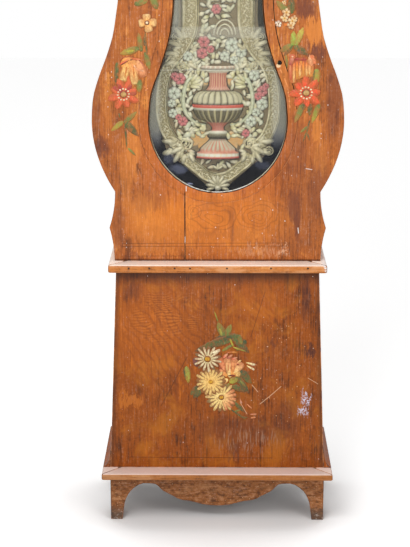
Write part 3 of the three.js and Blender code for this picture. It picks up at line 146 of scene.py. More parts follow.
class Finish:
    """One material. Its place is the object's own coordinates, which are the clock's metres.

    What it takes from the photo by pixels lies on the plane y = front."""

    def __init__(self, name, front=0.0):
        self.front = front
        self.material = bpy.data.materials.new(name)
        self.material.use_nodes = True
        self.tree = self.material.node_tree
        self.tree.nodes.clear()
        self.place = self.node("ShaderNodeTexCoord", out="Object")
        self.x, self.y, self.z = self.apart(self.place)
        self.facing = self.node("ShaderNodeTexCoord", out="Normal")
        self.wander = None

    def node(self, kind, settings=None, values=None, out=0):
        made = self.tree.nodes.new(kind)
        for key, value in (settings or {}).items():
            if key != "stops":
                setattr(made, key, value)
                continue
            ramp = made.color_ramp
            ramp.elements.remove(ramp.elements[1])
            ramp.elements[0].position, ramp.elements[0].color = value[0][0], (*value[0][1], 1)
            for position, colour in value[1:]:
                ramp.elements.new(position).color = (*colour, 1)
        for key, value in (values or {}).items():
            socket = made.inputs[key]
            if isinstance(value, Value):
                self.tree.links.new(value.socket, socket)
            elif isinstance(value, tuple) and socket.type == "RGBA":
                socket.default_value = (*value, 1)
            else:
                socket.default_value = value
        return Value(self, made.outputs[out]) if len(made.outputs) else self.material

    def apart(self, vector):
        made = self.tree.nodes.new("ShaderNodeSeparateXYZ")
        self.tree.links.new(vector.socket, made.inputs[0])
        return [Value(self, socket) for socket in made.outputs]

    def vector(self, operation, first, second, out=0):
        return self.node("ShaderNodeVectorMath", {"operation": operation}, {0: first, 1: second}, out)

    def noise(self, stretch, scale, detail, roughness=0.55, distortion=0):
        at = self.vector("MULTIPLY", self.place, stretch)
        return self.node("ShaderNodeTexNoise", None, {
            "Vector": at, "Scale": scale, "Detail": detail, "Roughness": roughness, "Distortion": distortion})

    def cells(self, stretch, scale, feature="F1", out="Distance"):
        at = self.vector("MULTIPLY", self.place, stretch)
        return self.node("ShaderNodeTexVoronoi", {"feature": feature}, {"Vector": at, "Scale": scale}, out)

    def rise(self, value, low, high):
        """0 up to low, 1 from high on, smooth between them."""
        return self.node("ShaderNodeMapRange", {"interpolation_type": "SMOOTHSTEP"},
                         {"Value": value, "From Min": low, "From Max": high})

    def mix(self, factor, first, second):
        return self.node("ShaderNodeMix", {"data_type": "RGBA"}, {0: factor, 6: first, 7: second}, 2)

    def ramp(self, value, *stops):
        return self.node("ShaderNodeValToRGB", {"stops": stops}, {0: value})

    def bump(self, height, distance, under=None):
        values = {"Height": height, "Distance": distance}
        if under:
            values["Normal"] = under
        return self.node("ShaderNodeBump", None, values)

    def shader(self, base, **sockets):
        values = {"Base Color": base}
        values.update({key.replace("_", " "): value for key, value in sockets.items()})
        return self.node("ShaderNodeBsdfPrincipled", None, values)

    def paint(self):
        """The colour of a piece's own attribute, and how far it covers what lies under it."""
        made = self.tree.nodes.new("ShaderNodeAttribute")
        made.attribute_name = "paint"
        return Value(self, made.outputs["Color"]), Value(self, made.outputs["Alpha"])

    def surface(self, shader):
        return self.node("ShaderNodeOutputMaterial", None, {"Surface": shader})

    def shaded(self, base, **sockets):
        return self.surface(self.shader(base, **sockets))

    def wandering(self, along_grain):
        """The place with a small drift, along the grain or even, so that a mask has a ragged edge."""
        if not self.wander:
            grain = self.vector("MULTIPLY", self.place, (2.4, 1, 0.5))
            drift = self.node("ShaderNodeTexNoise", None, {"Vector": grain, "Scale": 60.0, "Detail": 5.0,
                                                           "Roughness": 0.65}, "Color")
            drift = self.vector("SUBTRACT", drift, (0.5, 0.5, 0.5))
            self.wander = self.vector("ADD", self.place, self.vector("MULTIPLY", drift, (0.022, 0, 0.11)))
            soft = self.node("ShaderNodeTexNoise", None, {"Vector": self.place, "Scale": 24.0, "Detail": 2.0}, "Color")
            soft = self.vector("SUBTRACT", soft, (0.5, 0.5, 0.5))
            self.sway = self.vector("ADD", self.place, self.vector("MULTIPLY", soft, (0.03, 0, 0.03)))
        return self.apart(self.wander if along_grain else self.sway)

    def oval(self, u, v, half_u, half_v, soft, ragged=True, along_grain=True):
        """A mask round a pixel of the photo; soft is the share that fades."""
        x, z = self.wandering(along_grain)[::2] if ragged else (self.x, self.z)
        across, upright = pixel_size(self.front)
        middle_x, middle_z = spot(u, v, self.front)
        out_x = (x - middle_x) * (1 / (half_u * across))
        out_z = (z - middle_z) * (1 / (half_v * upright))
        return self.rise(out_x * out_x + out_z * out_z, 1, (1 - soft) ** 2)

    def line(self, points, width):
        """A thin line through pixels of the photo, width in metres."""
        flat = self.vector("MULTIPLY", self.place, (1, 0, 1))
        found = None
        for first, last in zip(points, points[1:]):
            (x0, z0), (x1, z1) = spot(*first, self.front), spot(*last, self.front)
            way = Vector((x1 - x0, 0, z1 - z0))
            from_start = self.vector("SUBTRACT", flat, (x0, 0, z0))
            along = self.vector("DOT_PRODUCT", from_start, tuple(way / way.length_squared), "Value")
            along = along.above(0.0).below(1.0)
            foot = self.node("ShaderNodeVectorMath", {"operation": "SCALE"}, {0: tuple(way), "Scale": along})
            away = self.vector("DISTANCE", from_start, foot, "Value")
            mask = self.rise(away, width * 0.8, width * 0.25)
            found = mask if found is None else found.above(mask)
        return found


OLD_DARK = srgb(58, 32, 22)
TONE_SPREAD = 5.4


def mottled_noise(finish):
    return finish.noise((1, 1, 1), 180, 3, 0.7)


def stained(f, colour, tone, spots):
    """Ragged spots: pixel, half width and half height in pixels, strength."""
    for u, v, half_u, half_v, amount in spots:
        colour = f.mix(f.oval(u, v, half_u, half_v, 0.7) * amount, colour, tone)
    return colour


def scratched(f, colour, tone, strength, rows):
    """Thin lines of one tone, each through its pixels with its width in metres."""
    for points, width in rows:
        colour = f.mix(f.line(points, width) * strength, colour, tone)
    return colour


def ruled(f, rows):
    """Thin lines as one mask: pixels, width in metres, strength."""
    found = None
    for points, width, strength in rows:
        mask = f.line(points, width) * strength
        found = found.above(mask) if found else mask
    return found


def wood_base(finish, tones, grain_x=1.0, grain_z=0.03, contrast=1.0, fleck_share=0.3):
    """Streaky grain: dark, middle and light tone, with the streaks along the stretched way."""
    along = (grain_x, 1.0, grain_z)
    fine = finish.noise(along, 420, 4, 0.7)
    broad = finish.noise(along, 70, 3, 0.6, 0.4)
    clouds = finish.noise((1, 1, 0.55), 10, 5, 0.62, 0.8)
    mottle = finish.noise((1, 1, 0.5), 62, 4, 0.7, 0.6)
    blotch = finish.noise((1, 1, 0.7), 26, 4, 0.65, 1.0)
    figure = fine * 0.3 + broad * 0.12 + clouds * 0.24 + mottle * 0.16 + blotch * 0.18
    tone = (figure - 0.5) * (TONE_SPREAD * contrast) + 0.5
    dark, middle, light = tones
    colour = finish.ramp(tone, (0.0, dark), (0.42, middle), (0.7, middle), (1.0, light))
    dry = finish.noise(along, 480, 3, 0.75) * 0.6 + mottled_noise(finish) * 0.4
    flecks = finish.rise(dry, 0.53, 0.64)
    colour = finish.mix(flecks * fleck_share, colour, srgb(220, 180, 156))
    pores = finish.rise(dry, 0.47, 0.37)
    colour = finish.mix(pores * 0.5, colour, OLD_DARK)
    return colour, tone, fine, clouds


def dust_and_top_light(finish, colour, dust, amount=0.75):
    """Pale dust and wear on what faces up, together with painted light: the tops paler as if lit from above."""
    up = finish.apart(finish.facing)[2]
    thin = finish.noise((1, 1, 1), 160, 4, 0.7)
    return finish.mix(finish.rise(up, 0.35, 0.8) * (thin * 0.4 + 0.7) * amount, colour, dust)


def specks(finish, colour, scale, share, speck_colour, stretch=(1, 1, 1)):
    """Small chips of lost paint, in a share of the cells."""
    apart = finish.cells(stretch, scale) + (mottled_noise(finish) - 0.5) * 0.5
    chosen = finish.apart(finish.cells(stretch, scale, out="Color"))[0]
    mask = finish.rise(apart, 0.27, 0.15) * finish.rise(chosen, 1 - share, 1 - share + 0.02)
    return finish.mix(mask, colour, speck_colour)


TRUNK_TONES = srgb(120, 66, 34), srgb(176, 98, 42), srgb(214, 134, 60)
BASE_TONES = srgb(88, 42, 12), srgb(148, 74, 14), srgb(184, 98, 22)
MOULDING_TONES = srgb(130, 74, 34), srgb(196, 120, 56), srgb(222, 152, 84)
PLINTH_TONES = srgb(84, 50, 28), srgb(150, 92, 48), srgb(178, 118, 66)
PURPLE_STAIN = srgb(100, 54, 44)
CHIP_WHITE = srgb(226, 214, 206)
BARE_ORANGE = srgb(222, 136, 60)


def varnished(finish, colour, tone, fine, clouds, rough=0.42):
    """Old satin varnish over brushed graining."""
    pits = finish.noise((1, 1, 0.35), 420, 3, 0.6)
    normal = finish.bump(fine * 0.7 + pits * 0.3, 0.00035)
    normal = finish.bump(finish.noise((1, 1, 0.3), 14, 2), 0.0022, normal)
    return finish.shaded(
        colour, Roughness=(clouds - 0.5) * 0.5 + rough + tone * 0.04, Specular_IOR_Level=0.24,
        Coat_Weight=0.03, Coat_Roughness=0.25, Normal=normal)


def shade_inside_case(finish, colour, inside):
    """Painted shade: darkens the faces that look into the case."""
    towards = finish.vector("MULTIPLY", finish.vector("SUBTRACT", finish.place, (0, 0.03, 0)), (1, 1, 0))
    out = finish.vector("DOT_PRODUCT", finish.facing, towards, "Value")
    return finish.mix(finish.rise(out, 0.0, -0.002), colour, inside)


def trunk_wood():
    f = Finish("painted_trunk_wood", TRUNK_FRONT)
    colour, tone, fine, clouds = wood_base(f, TRUNK_TONES, contrast=1.16)
    # Brighter wood beside the glass and on the foot, darker towards the left edge
    glow = f.oval(218, 150, 96, 110, 0.9, ragged=False)
    colour = f.mix(glow * 0.3, colour, srgb(214, 104, 30))
    foot = f.oval(205, 222, 110, 36, 0.8)
    colour = f.mix(foot * clouds * 0.9, colour, srgb(232, 134, 42))
    # Purple brown streaks and stains
    streaks = f.rise(f.noise((1, 1, 0.09), 42, 4, 0.7), 0.56, 0.74)
    colour = f.mix(streaks * 0.4, colour, PURPLE_STAIN)
    colour = stained(f, colour, PURPLE_STAIN, (
        (294, 206, 9, 24, 0.6), (297, 226, 4, 18, 0.6), (305, 8, 15, 14, 0.75), (316, 52, 14, 8, 0.75),
        (101, 147, 11, 14, 0.65), (104, 30, 12, 42, 0.45), (119, 90, 8, 60, 0.2), (150, 202, 22, 14, 0.3),
        (119, 226, 8, 30, 0.35), (334, 100, 10, 50, 0.5), (318, 185, 14, 40, 0.4), (296, 150, 12, 40, 0.35),
        (232, 222, 4, 30, 0.3), (216, 234, 60, 5, 0.2), (156, 110, 5, 40, 0.25), (96, 96, 6, 46, 0.4),
        (130, 258, 30, 4, 0.25), (302, 215, 24, 50, 0.16)))
    # Bare orange patches
    for u, v, half_u, half_v, amount in (
            (313, 31, 9, 15, 0.85), (134, 148, 7, 34, 0.6), (108, 108, 4, 30, 0.35), (317, 127, 6, 16, 0.7),
            (284, 80, 4, 34, 0.4), (150, 230, 20, 20, 0.3), (323, 30, 5, 14, 0.7), (155, 251, 28, 4, 0.5),
            (262, 206, 14, 10, 0.3), (240, 196, 40, 5, 0.2), (126, 176, 7, 40, 0.4), (141, 208, 14, 18, 0.4),
            (248, 236, 18, 10, 0.3), (321, 158, 7, 18, 0.35)):
        bare = f.oval(u, v, half_u, half_v, 0.3) * (fine * 1.1 + 0.2)
        colour = f.mix(bare * amount, colour, BARE_ORANGE)
    # Painted curls on the foot, thin dark ovals one in another
    across, upright = pixel_size(TRUNK_FRONT)
    for u, v, half_u, half_v, turns in ((194, 213, 12, 10, 3), (214, 217, 31, 17, 4), (258, 216, 26, 18, 5)):
        x, z = spot(u, v, TRUNK_FRONT)
        rings = f.vector("MULTIPLY", f.vector("SUBTRACT", f.sway, (x, TRUNK_FRONT, z)),
                         (1 / (half_u * across), 0, 1 / (half_v * upright)))
        out = f.vector("LENGTH", rings, (0, 0, 0), "Value") + clouds * 0.25
        ring = f.rise(abs((out * turns).part() - 0.5), 0.2, 0.02) * f.rise(out, 1.25, 0.85) * 0.24
        colour = f.mix(ring, colour, OLD_DARK)
    # Scribed border lines of the foot and the faint joint right of the middle
    border = ruled(f, (
        (((122, 243.5), (289, 243)), 0.0012, 1), (((122, 246.5), (289, 246)), 0.0012, 1),
        (((122, 256), (186, 256)), 0.001, 1), (((122.5, 244), (121, 258)), 0.001, 1),
        (((233, 224), (231, 260)), 0.0009, 0.7)))
    colour = f.mix(border * 0.55, colour, OLD_DARK)
    # Dirt in the open joint left of the middle and along the foot of the boards
    joint = f.rise(abs(f.x + 0.07), 0.0026, 0.0008) * f.rise(f.z, 0.76, 0.75)
    foot_dirt = f.rise(f.z, 0.6095, 0.605)
    colour = f.mix(joint.above(foot_dirt) * 0.75, colour, srgb(44, 24, 18))
    # Knot, pale rubbed patch and small white chips
    colour = f.mix(f.oval(139, 171, 4, 5, 0.8) * 0.6, colour, OLD_DARK)
    pale = f.oval(283, 251, 7, 7, 0.5) * f.rise(f.noise((1, 1, 1), 240, 3), 0.42, 0.6)
    colour = f.mix(pale * 0.7, colour, srgb(226, 176, 140))
    colour = f.mix(f.oval(258, 251, 32, 4, 0.6) * 0.3, colour, srgb(226, 170, 130))
    colour = specks(f, colour, 230, 0.03, CHIP_WHITE, (1, 1, 0.7))
    # Worn wood along the door's right edge and at the keyhole
    door_edge = f.line([(280.5, 70), (284, 77), (287.4, 86), (289, 98), (290, 108)], 0.0022)
    colour = f.mix(door_edge * f.rise(mottled_noise(f), 0.4, 0.55) * 0.7, colour, srgb(240, 160, 100))
    colour = f.mix(f.oval(278.4, 65.6, 2.6, 2.4, 0.4, ragged=False) * 0.85, colour, srgb(236, 204, 160))
    colour = f.mix(f.oval(291, 94.8, 1.6, 1.3, 0.5, ragged=False), colour, srgb(236, 224, 236))
    colour = scratched(f, colour, CHIP_WHITE, 1, (
        (((298, 228), (298.5, 233)), 0.0018), (((186.2, 186.5), (186.2, 191)), 0.0016),
        (((306, 168.6), (312, 169.6)), 0.0012), (((202, 190), (206, 191.5)), 0.0013)))
    colour = shade_inside_case(f, colour, srgb(38, 34, 36))
    return varnished(f, colour, tone, fine, clouds)


def base_wood():
    f = Finish("painted_base_wood", BASE_FRONT)
    # Combed curls bend the grain in the upper left part
    curl = f.oval(165, 318, 46, 34, 0.9)
    sway = f.node("ShaderNodeTexNoise", None, {"Vector": f.place, "Scale": 9.0, "Detail": 1.0}, "Color")
    bent = f.vector("ADD", f.place, f.vector("MULTIPLY", sway, (0.1, 0, 0.1)))
    waves = f.node("ShaderNodeTexWave", {"wave_type": "RINGS", "rings_direction": "Y"}, {
        "Vector": bent, "Scale": 52.0, "Distortion": 5.0, "Detail": 3.0, "Detail Scale": 1.4})
    colour, tone, fine, clouds = wood_base(f, BASE_TONES, contrast=1.08, fleck_share=0.18)
    golden = f.rise(f.noise((1, 1, 0.8), 13, 4, 0.65, 0.8), 0.48, 0.66)
    colour = f.mix(golden * 0.5, colour, srgb(186, 110, 26))
    patchy = curl * f.rise(f.noise((1, 1, 1), 34, 3, 0.6), 0.42, 0.56)
    colour = f.mix(patchy * f.rise(waves, 0.35, 0.75) * 0.4, colour, srgb(212, 128, 56))
    colour = f.mix(patchy * f.rise(waves, 0.3, 0.05) * 0.4, colour, OLD_DARK)
    # Light bands on the left and in the middle, dark mottled bands on the right
    glow = f.oval(150, 330, 60, 60, 0.9).above(f.oval(262, 300, 34, 34, 0.9) * 0.8)
    colour = f.mix(glow * 0.35, colour, srgb(196, 104, 30))
    streaks = f.rise(f.noise((1, 1, 0.07), 38, 4, 0.7), 0.54, 0.74)
    colour = f.mix(streaks * 0.38, colour, srgb(96, 46, 28))
    # Flames of the graining: slanting darker lines
    slant = f.vector("DOT_PRODUCT", f.place, (0.83, 0, 0.56), "Value")
    flames = f.noise((1, 1, 1), 16, 3, 0.5)
    figure = f.rise(abs(((slant * 62) + flames * 3.2).part() - 0.5), 0.26, 0.02)
    colour = f.mix(figure * f.oval(170, 340, 70, 70, 0.9) * 0.3, colour, srgb(92, 44, 22))
    colour = stained(f, colour, srgb(70, 38, 34), (
        (310, 351, 9, 8, 0.75), (306, 300, 6, 30, 0.5), (240, 430, 60, 22, 0.35), (233, 450, 9, 12, 0.5),
        (132, 290, 14, 14, 0.4), (272, 345, 12, 6, 0.4), (290, 420, 20, 30, 0.3)))
    colour = f.mix(f.oval(131, 401, 14, 7, 0.25) * 0.5, colour, srgb(206, 118, 40))
    # Painted shade with dirt in a dark band under the shelf; darker along the edges and near the foot
    under = f.rise(f.z, 0.545, 0.583)
    colour = f.mix(under * 0.74, colour, srgb(62, 32, 16))
    edge = f.rise(abs(f.x) + (f.z - 0.13) * 0.0407, 0.222, 0.234)
    colour = f.mix(edge * 0.5, colour, srgb(64, 36, 24))
    cracks = ruled(f, (
        (((128, 457), (272, 458)), 0.0014, 1), (((272, 446), (272, 459)), 0.0012, 1),
        (((187, 357), (175, 380), (161, 406)), 0.0018, 0.8), (((265, 292), (250.8, 337)), 0.0016, 0.8),
        (((150, 349), (152, 372)), 0.001, 0.8), (((128, 446), (128, 458)), 0.001, 0.8)))
    colour = f.mix(cracks * 0.6, colour, OLD_DARK)
    # Scratches and chips
    colour = scratched(f, colour, srgb(222, 178, 140), 0.85, (
        (((260, 404), (270, 396), (281, 386.5)), 0.0013), (((252, 385), (258, 392)), 0.0012),
        (((240, 402), (247, 414)), 0.001), (((308, 378), (318, 384)), 0.001)))
    flaking = f.rise(f.noise((1, 1, 1), 260, 3, 0.7), 0.46, 0.54)
    lost = f.oval(307, 398, 7, 7, 0.6).above(f.oval(302.5, 411, 6.5, 7, 0.6))
    colour = f.mix(lost * flaking, colour, srgb(206, 200, 216))
    worn_side = f.oval(282, 370, 44, 74, 0.8)
    many = specks(f, colour, 200, 0.12, srgb(214, 158, 112), (1, 1, 0.8))
    colour = f.mix(worn_side, colour, many)
    colour = specks(f, colour, 240, 0.02, CHIP_WHITE)
    rubbed = f.oval(246, 440, 46, 18, 0.8) * f.rise(f.noise((1, 1, 0.12), 260, 3), 0.5, 0.62)
    colour = f.mix(rubbed * 0.45, colour, srgb(176, 140, 116))
    colour = shade_inside_case(f, colour, srgb(40, 34, 32))
    return varnished(f, colour, tone, fine, clouds, 0.4)


def plain_wood(name, tones, upright=True, dust=None):
    """Stained wood without paintwork, its grain upright or level."""
    f = Finish(name)
    grain, stain = ((1.0, 0.03), (1, 1, 0.3)) if upright else ((0.03, 1.0), (0.3, 1, 1))
    colour, tone, fine, clouds = wood_base(f, tones, *grain)
    stains = f.rise(f.noise(stain, 22, 3, 0.6), 0.54, 0.7)
    colour = f.mix(stains * 0.45, colour, PURPLE_STAIN)
    colour = specks(f, colour, 230, 0.03, CHIP_WHITE)
    # Dust and painted light from above on what faces up
    if dust:
        colour = dust_and_top_light(f, colour, dust)
    colour = shade_inside_case(f, colour, srgb(44, 36, 32))
    return varnished(f, colour, tone, fine, clouds, 0.46)


def shelf_wood():
    """The two shelf mouldings: rubbed light front, pale top of dust and painted light from above, nail holes, white
    damage at the right end.
    """
    f = Finish("shelf_moulding_wood", SHELF_FRONT)
    colour, tone, fine, clouds = wood_base(f, MOULDING_TONES, 0.04, 1.0)
    worn = f.rise(f.noise((0.3, 1, 1), 38, 4, 0.65), 0.48, 0.62)
    colour = f.mix(worn * 0.5, colour, srgb(226, 168, 118))
    low = f.rise(f.z, 0.3, 0.29)
    colour = f.mix(low * 0.42, colour, srgb(112, 70, 36))
    for u in (128.7, 149.3, 174.6, 190, 227, 271, 308):
        colour = f.mix(f.oval(u, 268.5, 1.4, 1.2, 0.6, ragged=False), colour, OLD_DARK)
    # Pale tops of dust and painted light from above, paler on the waist moulding than on the lower one
    low_top = f.mix(low, srgb(255, 238, 224), srgb(230, 204, 192))
    colour = dust_and_top_light(f, colour, low_top, 1.1)
    torn = f.oval(326, 266, 5, 5, 0.5) * f.rise(f.noise((1, 1, 1), 300, 3), 0.42, 0.55)
    colour = f.mix(torn, colour, srgb(236, 228, 226))
    return varnished(f, colour, tone, fine, clouds, 0.5)


def plinth_wood():
    f = Finish("plinth_wood")
    colour, tone, fine, clouds = wood_base(f, PLINTH_TONES, 0.05, 1.0)
    # Painted shade: darker towards the top, under the lower moulding
    colour = f.mix(f.rise(f.z, 0.085, 0.118) * 0.7, colour, srgb(74, 44, 28))
    coarse = f.noise((0.6, 1, 1), 130, 4, 0.75)
    colour = f.mix(f.rise(coarse, 0.52, 0.62) * 0.5, colour, srgb(196, 142, 100))
    colour = f.mix(f.rise(coarse, 0.48, 0.38) * 0.6, colour, srgb(66, 40, 28))
    colour = specks(f, colour, 260, 0.16, srgb(206, 170, 130))
    ends = f.rise(f.z + (mottled_noise(f) - 0.5) * 0.03, 0.036, 0.012)
    colour = f.mix(ends * 0.75, colour, srgb(76, 66, 58))
    colour = f.mix(ends * f.rise(mottled_noise(f), 0.56, 0.62) * 0.6, colour, srgb(196, 186, 176))
    rubbed = f.rise(f.noise((0.4, 1, 1), 46, 4, 0.65), 0.52, 0.66)
    colour = f.mix(rubbed * 0.35, colour, srgb(196, 140, 92))
    return varnished(f, colour, tone, fine, clouds, 0.55)


def worn_edge(name, dark, bare):
    """Arrises: rubbed to light wood in places, dark with dirt in others."""
    f = Finish(name)
    rubbed = f.rise(f.noise((1, 1, 1), 30, 5, 0.7), 0.42, 0.6)
    colour = f.mix(rubbed, dark, bare)
    fine = f.noise((1, 1, 1), 300, 3, 0.6)
    colour = f.mix(f.rise(fine, 0.5, 0.7) * 0.5, colour, dark)
    return f.shaded(colour, Roughness=fine * 0.3 + 0.42, Normal=f.bump(fine, 0.0004))


def raw_deal():
    """Bare softwood boards; inside the case, where the glass shows them, painted shade makes them nearly black."""
    f = Finish("raw_deal")
    tones = srgb(96, 70, 46), srgb(146, 112, 74), srgb(176, 140, 96)
    colour, _, fine, _ = wood_base(f, tones, 1.0, 0.02)
    colour = f.mix(f.rise(f.noise((1, 1, 0.5), 12, 4, 0.6), 0.5, 0.7) * 0.4, colour, srgb(84, 62, 44))
    # Painted shade inside the case: navy low down, grey-green higher, brown at the top
    painted_inside_shade = f.mix(f.rise(f.z, 0.84, 0.93), srgb(16, 18, 30), srgb(52, 62, 62))
    painted_inside_shade = f.mix(f.rise(f.z, 1.70, 1.80), painted_inside_shade, srgb(78, 60, 44))
    inside = f.rise(f.apart(f.facing)[1], -0.3, -0.6) * f.rise(f.y, 0.125, 0.128)
    colour = f.mix(inside, colour, painted_inside_shade)
    normal = f.bump(fine, 0.0006)
    return f.shaded(colour, Roughness=0.75 + fine * 0.2, Normal=normal)


def glazed(f, tint, dirt):
    """Clear glass with a faint gloss under a film of dirt."""
    clear = f.node("ShaderNodeBsdfTransparent", None, {"Color": (0.99, 0.995, 0.985)})
    gloss = f.node("ShaderNodeBsdfGlossy", None, {"Roughness": 0.05})
    fresnel = f.node("ShaderNodeFresnel", None, {"IOR": 1.45})
    sheet = f.node("ShaderNodeMixShader", None, {0: fresnel * 0.5, 1: clear, 2: gloss})
    film = f.shader(tint, Roughness=0.6)
    return f.surface(f.node("ShaderNodeMixShader", None, {0: dirt, 1: sheet, 2: film}))


def door_pane():
    """Old glass: clear, with a grey haze that is thicker in bands and at the sides."""
    f = Finish("old_door_glass", PANE_FRONT)
    level = lambda v: spot(MIDDLE_COLUMN, v, PANE_FRONT)[1]
    drift = f.noise((1, 1, 3), 10, 3, 0.6)
    z = f.z + (drift - 0.5) * 0.004
    haze = f.rise(z, level(190), level(150)) * 0.012 + 0.004
    haze = haze + f.rise(z, level(71.5), level(70)) * 0.022
    haze = haze + (f.rise(z, level(39), level(37)) * f.rise(z, level(26), level(28))) * 0.16
    haze = haze + f.rise(abs(z - level(70.5)), 0.0022, 0.0006) * 0.16
    side = f.rise(f.x, -0.07, -0.09) * f.rise(z, level(34), level(20)) * 0.3
    flank = f.rise(abs(f.x + 0.003), 0.112, 0.124)
    flank = flank * f.rise(z, level(152), level(128)) * f.rise(z, level(66), level(80))
    haze = haze + side + flank * 0.2
    for u, v, half_u, half_v, amount in (
            (178, 169, 10, 6, 0.13), (189.5, 184, 3.5, 1.6, 0.45), (170, 158, 6, 7, 0.07), (262, 165, 12, 7, 0.06),
            (206, 190, 4, 1.2, 0.25)):
        haze = haze + f.oval(u, v, half_u, half_v, 0.8, along_grain=False) * amount
    dust = f.rise(f.noise((1, 1, 1), 90, 4, 0.6), 0.45, 0.75) * 0.008
    tint = f.mix(f.rise(z, level(160), level(120)), srgb(146, 154, 184), srgb(200, 198, 180))
    return glazed(f, tint, haze + dust)


def hood_pane():
    f = Finish("hood_glass")
    dust = f.rise(f.noise((1, 1, 1), 30, 4, 0.6), 0.35, 0.8) * 0.07 + 0.02
    return glazed(f, srgb(206, 212, 206), dust)


def metal(name, clean, dull, metallic, rough, grain=70, rust=None):
    f = Finish(name)
    patches = f.noise((1, 1, 1), grain, 4, 0.65)
    pits = f.noise((1, 1, 1), grain * 7, 3, 0.6)
    colour = f.mix(f.rise(patches, 0.4, 0.64), clean, dull)
    if rust:
        colour = f.mix(f.rise(f.noise((1, 1, 1), grain * 0.6, 5, 0.7), 0.54, 0.7) * 0.8, colour, rust)
    return f.shaded(
        colour, Metallic=metallic - f.rise(patches, 0.45, 0.7) * 0.3, Roughness=patches * 0.35 + rough,
        Normal=f.bump(pits * 0.6 + patches * 0.4, 0.0004))


def pressed_brass():
    """Greenish old sheet brass with coloured lacquer: the attribute paint holds the lacquer and the relief's painted
    shade and shadows, alpha how much.
    """
    f = Finish("pressed_brass_painted")
    lacquer, cover = f.paint()
    patches = f.noise((1, 1, 1), 60, 4, 0.65)
    brass = f.mix(f.rise(patches, 0.38, 0.64), srgb(246, 236, 200), srgb(206, 192, 144))
    worn = f.rise(f.noise((1, 1, 1), 420, 3, 0.7), 0.62, 0.74)
    cover = cover * (1 - worn * 0.6)
    colour = f.mix(cover, brass, lacquer)
    # Darker in hollows and between parts, found by ambient occlusion: dirt there, and painted shade as well
    closed = f.node("ShaderNodeAmbientOcclusion", {"samples": 8}, {"Distance": 0.007}, "AO")
    hollow_dirt_and_shade = f.rise(closed, 0.5, 0.15)
    colour = f.mix(hollow_dirt_and_shade * 0.8, colour, srgb(60, 46, 30))
    fine = f.noise((1, 1, 1), 900, 2, 0.6)
    return f.shaded(
        colour, Metallic=(1 - cover) * 0.2 * (1 - hollow_dirt_and_shade), Roughness=patches * 0.3 + 0.3,
        Normal=f.bump(fine * 0.3 + patches * 0.7, 0.0007))


def stippled_brass():
    """The sunk middle of the pressed bands, punched all over."""
    f = Finish("stippled_brass")
    punch = f.cells((1, 1, 1), 330)
    patches = f.noise((1, 1, 1), 60, 4, 0.65)
    colour = f.mix(f.rise(punch, 0.2, 0.5), srgb(250, 240, 202), srgb(176, 160, 116))
    colour = f.mix(f.rise(patches, 0.45, 0.7) * 0.3, colour, srgb(196, 184, 140))
    return f.shaded(colour, Metallic=0.1, Roughness=0.45, Normal=f.bump(punch, -0.0012))


def folk_paint():
    """Oil colours of the painted flowers, thin and a little rubbed."""
    f = Finish("folk_flower_paint")
    tone, cover = f.paint()
    bristles = f.noise((1, 1, 0.4), 480, 4, 0.7)
    colour = f.mix(f.rise(bristles, 0.52, 0.68) * 0.34, tone, TRUNK_TONES[0])
    colour = f.mix(f.rise(bristles, 0.42, 0.3) * 0.25, colour, srgb(250, 226, 180))
    wood = f.mix(f.rise(f.z, 0.59, 0.6), BASE_TONES[1], TRUNK_TONES[1])
    worn = f.rise(f.noise((1, 1, 0.7), 200, 4, 0.7) + (cover - 1) * 0.3, 0.5, 0.4)
    colour = f.mix((1 - cover * (1 - worn * 0.6)) * 0.85, colour, wood)
    return f.shaded(colour, Roughness=bristles * 0.2 + 0.42, Normal=f.bump(bristles, 0.0004))


def putty():
    """Bead of putty round the glass: pale along the lower half, dark above."""
    f = Finish("putty_bead")
    level = lambda v: spot(MIDDLE_COLUMN, v, TRUNK_FRONT)[1]
    rubbed = f.noise((1, 1, 1), 120, 4, 0.7)
    pale = f.rise(f.z, level(120), level(170)) * f.rise(rubbed, 0.3, 0.5)
    colour = f.mix(pale, srgb(96, 62, 34), srgb(214, 204, 176))
    white = f.rise(f.z, level(178), level(188))
    colour = f.mix(white * f.rise(rubbed, 0.4, 0.55), colour, srgb(240, 240, 236))
    return f.shaded(colour, Roughness=0.7, Normal=f.bump(rubbed, 0.0006))


def enamel():
    """White enamel with a fine craze, a minute ring and blued ticks, worn round the holes."""
    f = Finish("dial_enamel")
    at = f.vector("SUBTRACT", f.place, tuple(DIAL_MIDDLE))
    x, _, z = f.apart(at)
    out = f.vector("LENGTH", f.vector("MULTIPLY", at, (1, 0, 1)), (0, 0, 0), "Value")
    turn = f.node("ShaderNodeMath", {"operation": "ARCTAN2"}, {0: x, 1: z}) * (30 / math.pi)
    near_tick = abs((turn + 0.5).part() - 0.5)
    tick = f.rise(near_tick * out, 0.0055, 0.004) * f.rise(out, 0.1055, 0.1062) * f.rise(out, 0.1118, 0.111)
    rings = f.rise(abs(out - 0.1058), 0.0006, 0.0003).above(f.rise(abs(out - 0.1115), 0.0006, 0.0003))
    five = abs((turn * 0.2 + 0.5).part() - 0.5)
    bold = f.rise(five * out, 0.0024, 0.002) * f.rise(out, 0.1055, 0.1062) * f.rise(out, 0.1118, 0.111)
    clouds = f.noise((1, 1, 1), 24, 4, 0.6)
    white = f.mix(f.rise(clouds, 0.4, 0.7), srgb(240, 236, 224), srgb(226, 218, 198))
    craze = f.cells((1, 1, 1), 95, "DISTANCE_TO_EDGE")
    white = f.mix(f.rise(craze, 0.03, 0.0) * 0.22, white, srgb(120, 104, 80))
    colour = f.mix(tick.above(rings).above(bold), white, srgb(26, 24, 30))
    return f.shaded(colour, Roughness=clouds * 0.14 + 0.12, Coat_Weight=0.4, Coat_Roughness=0.08)


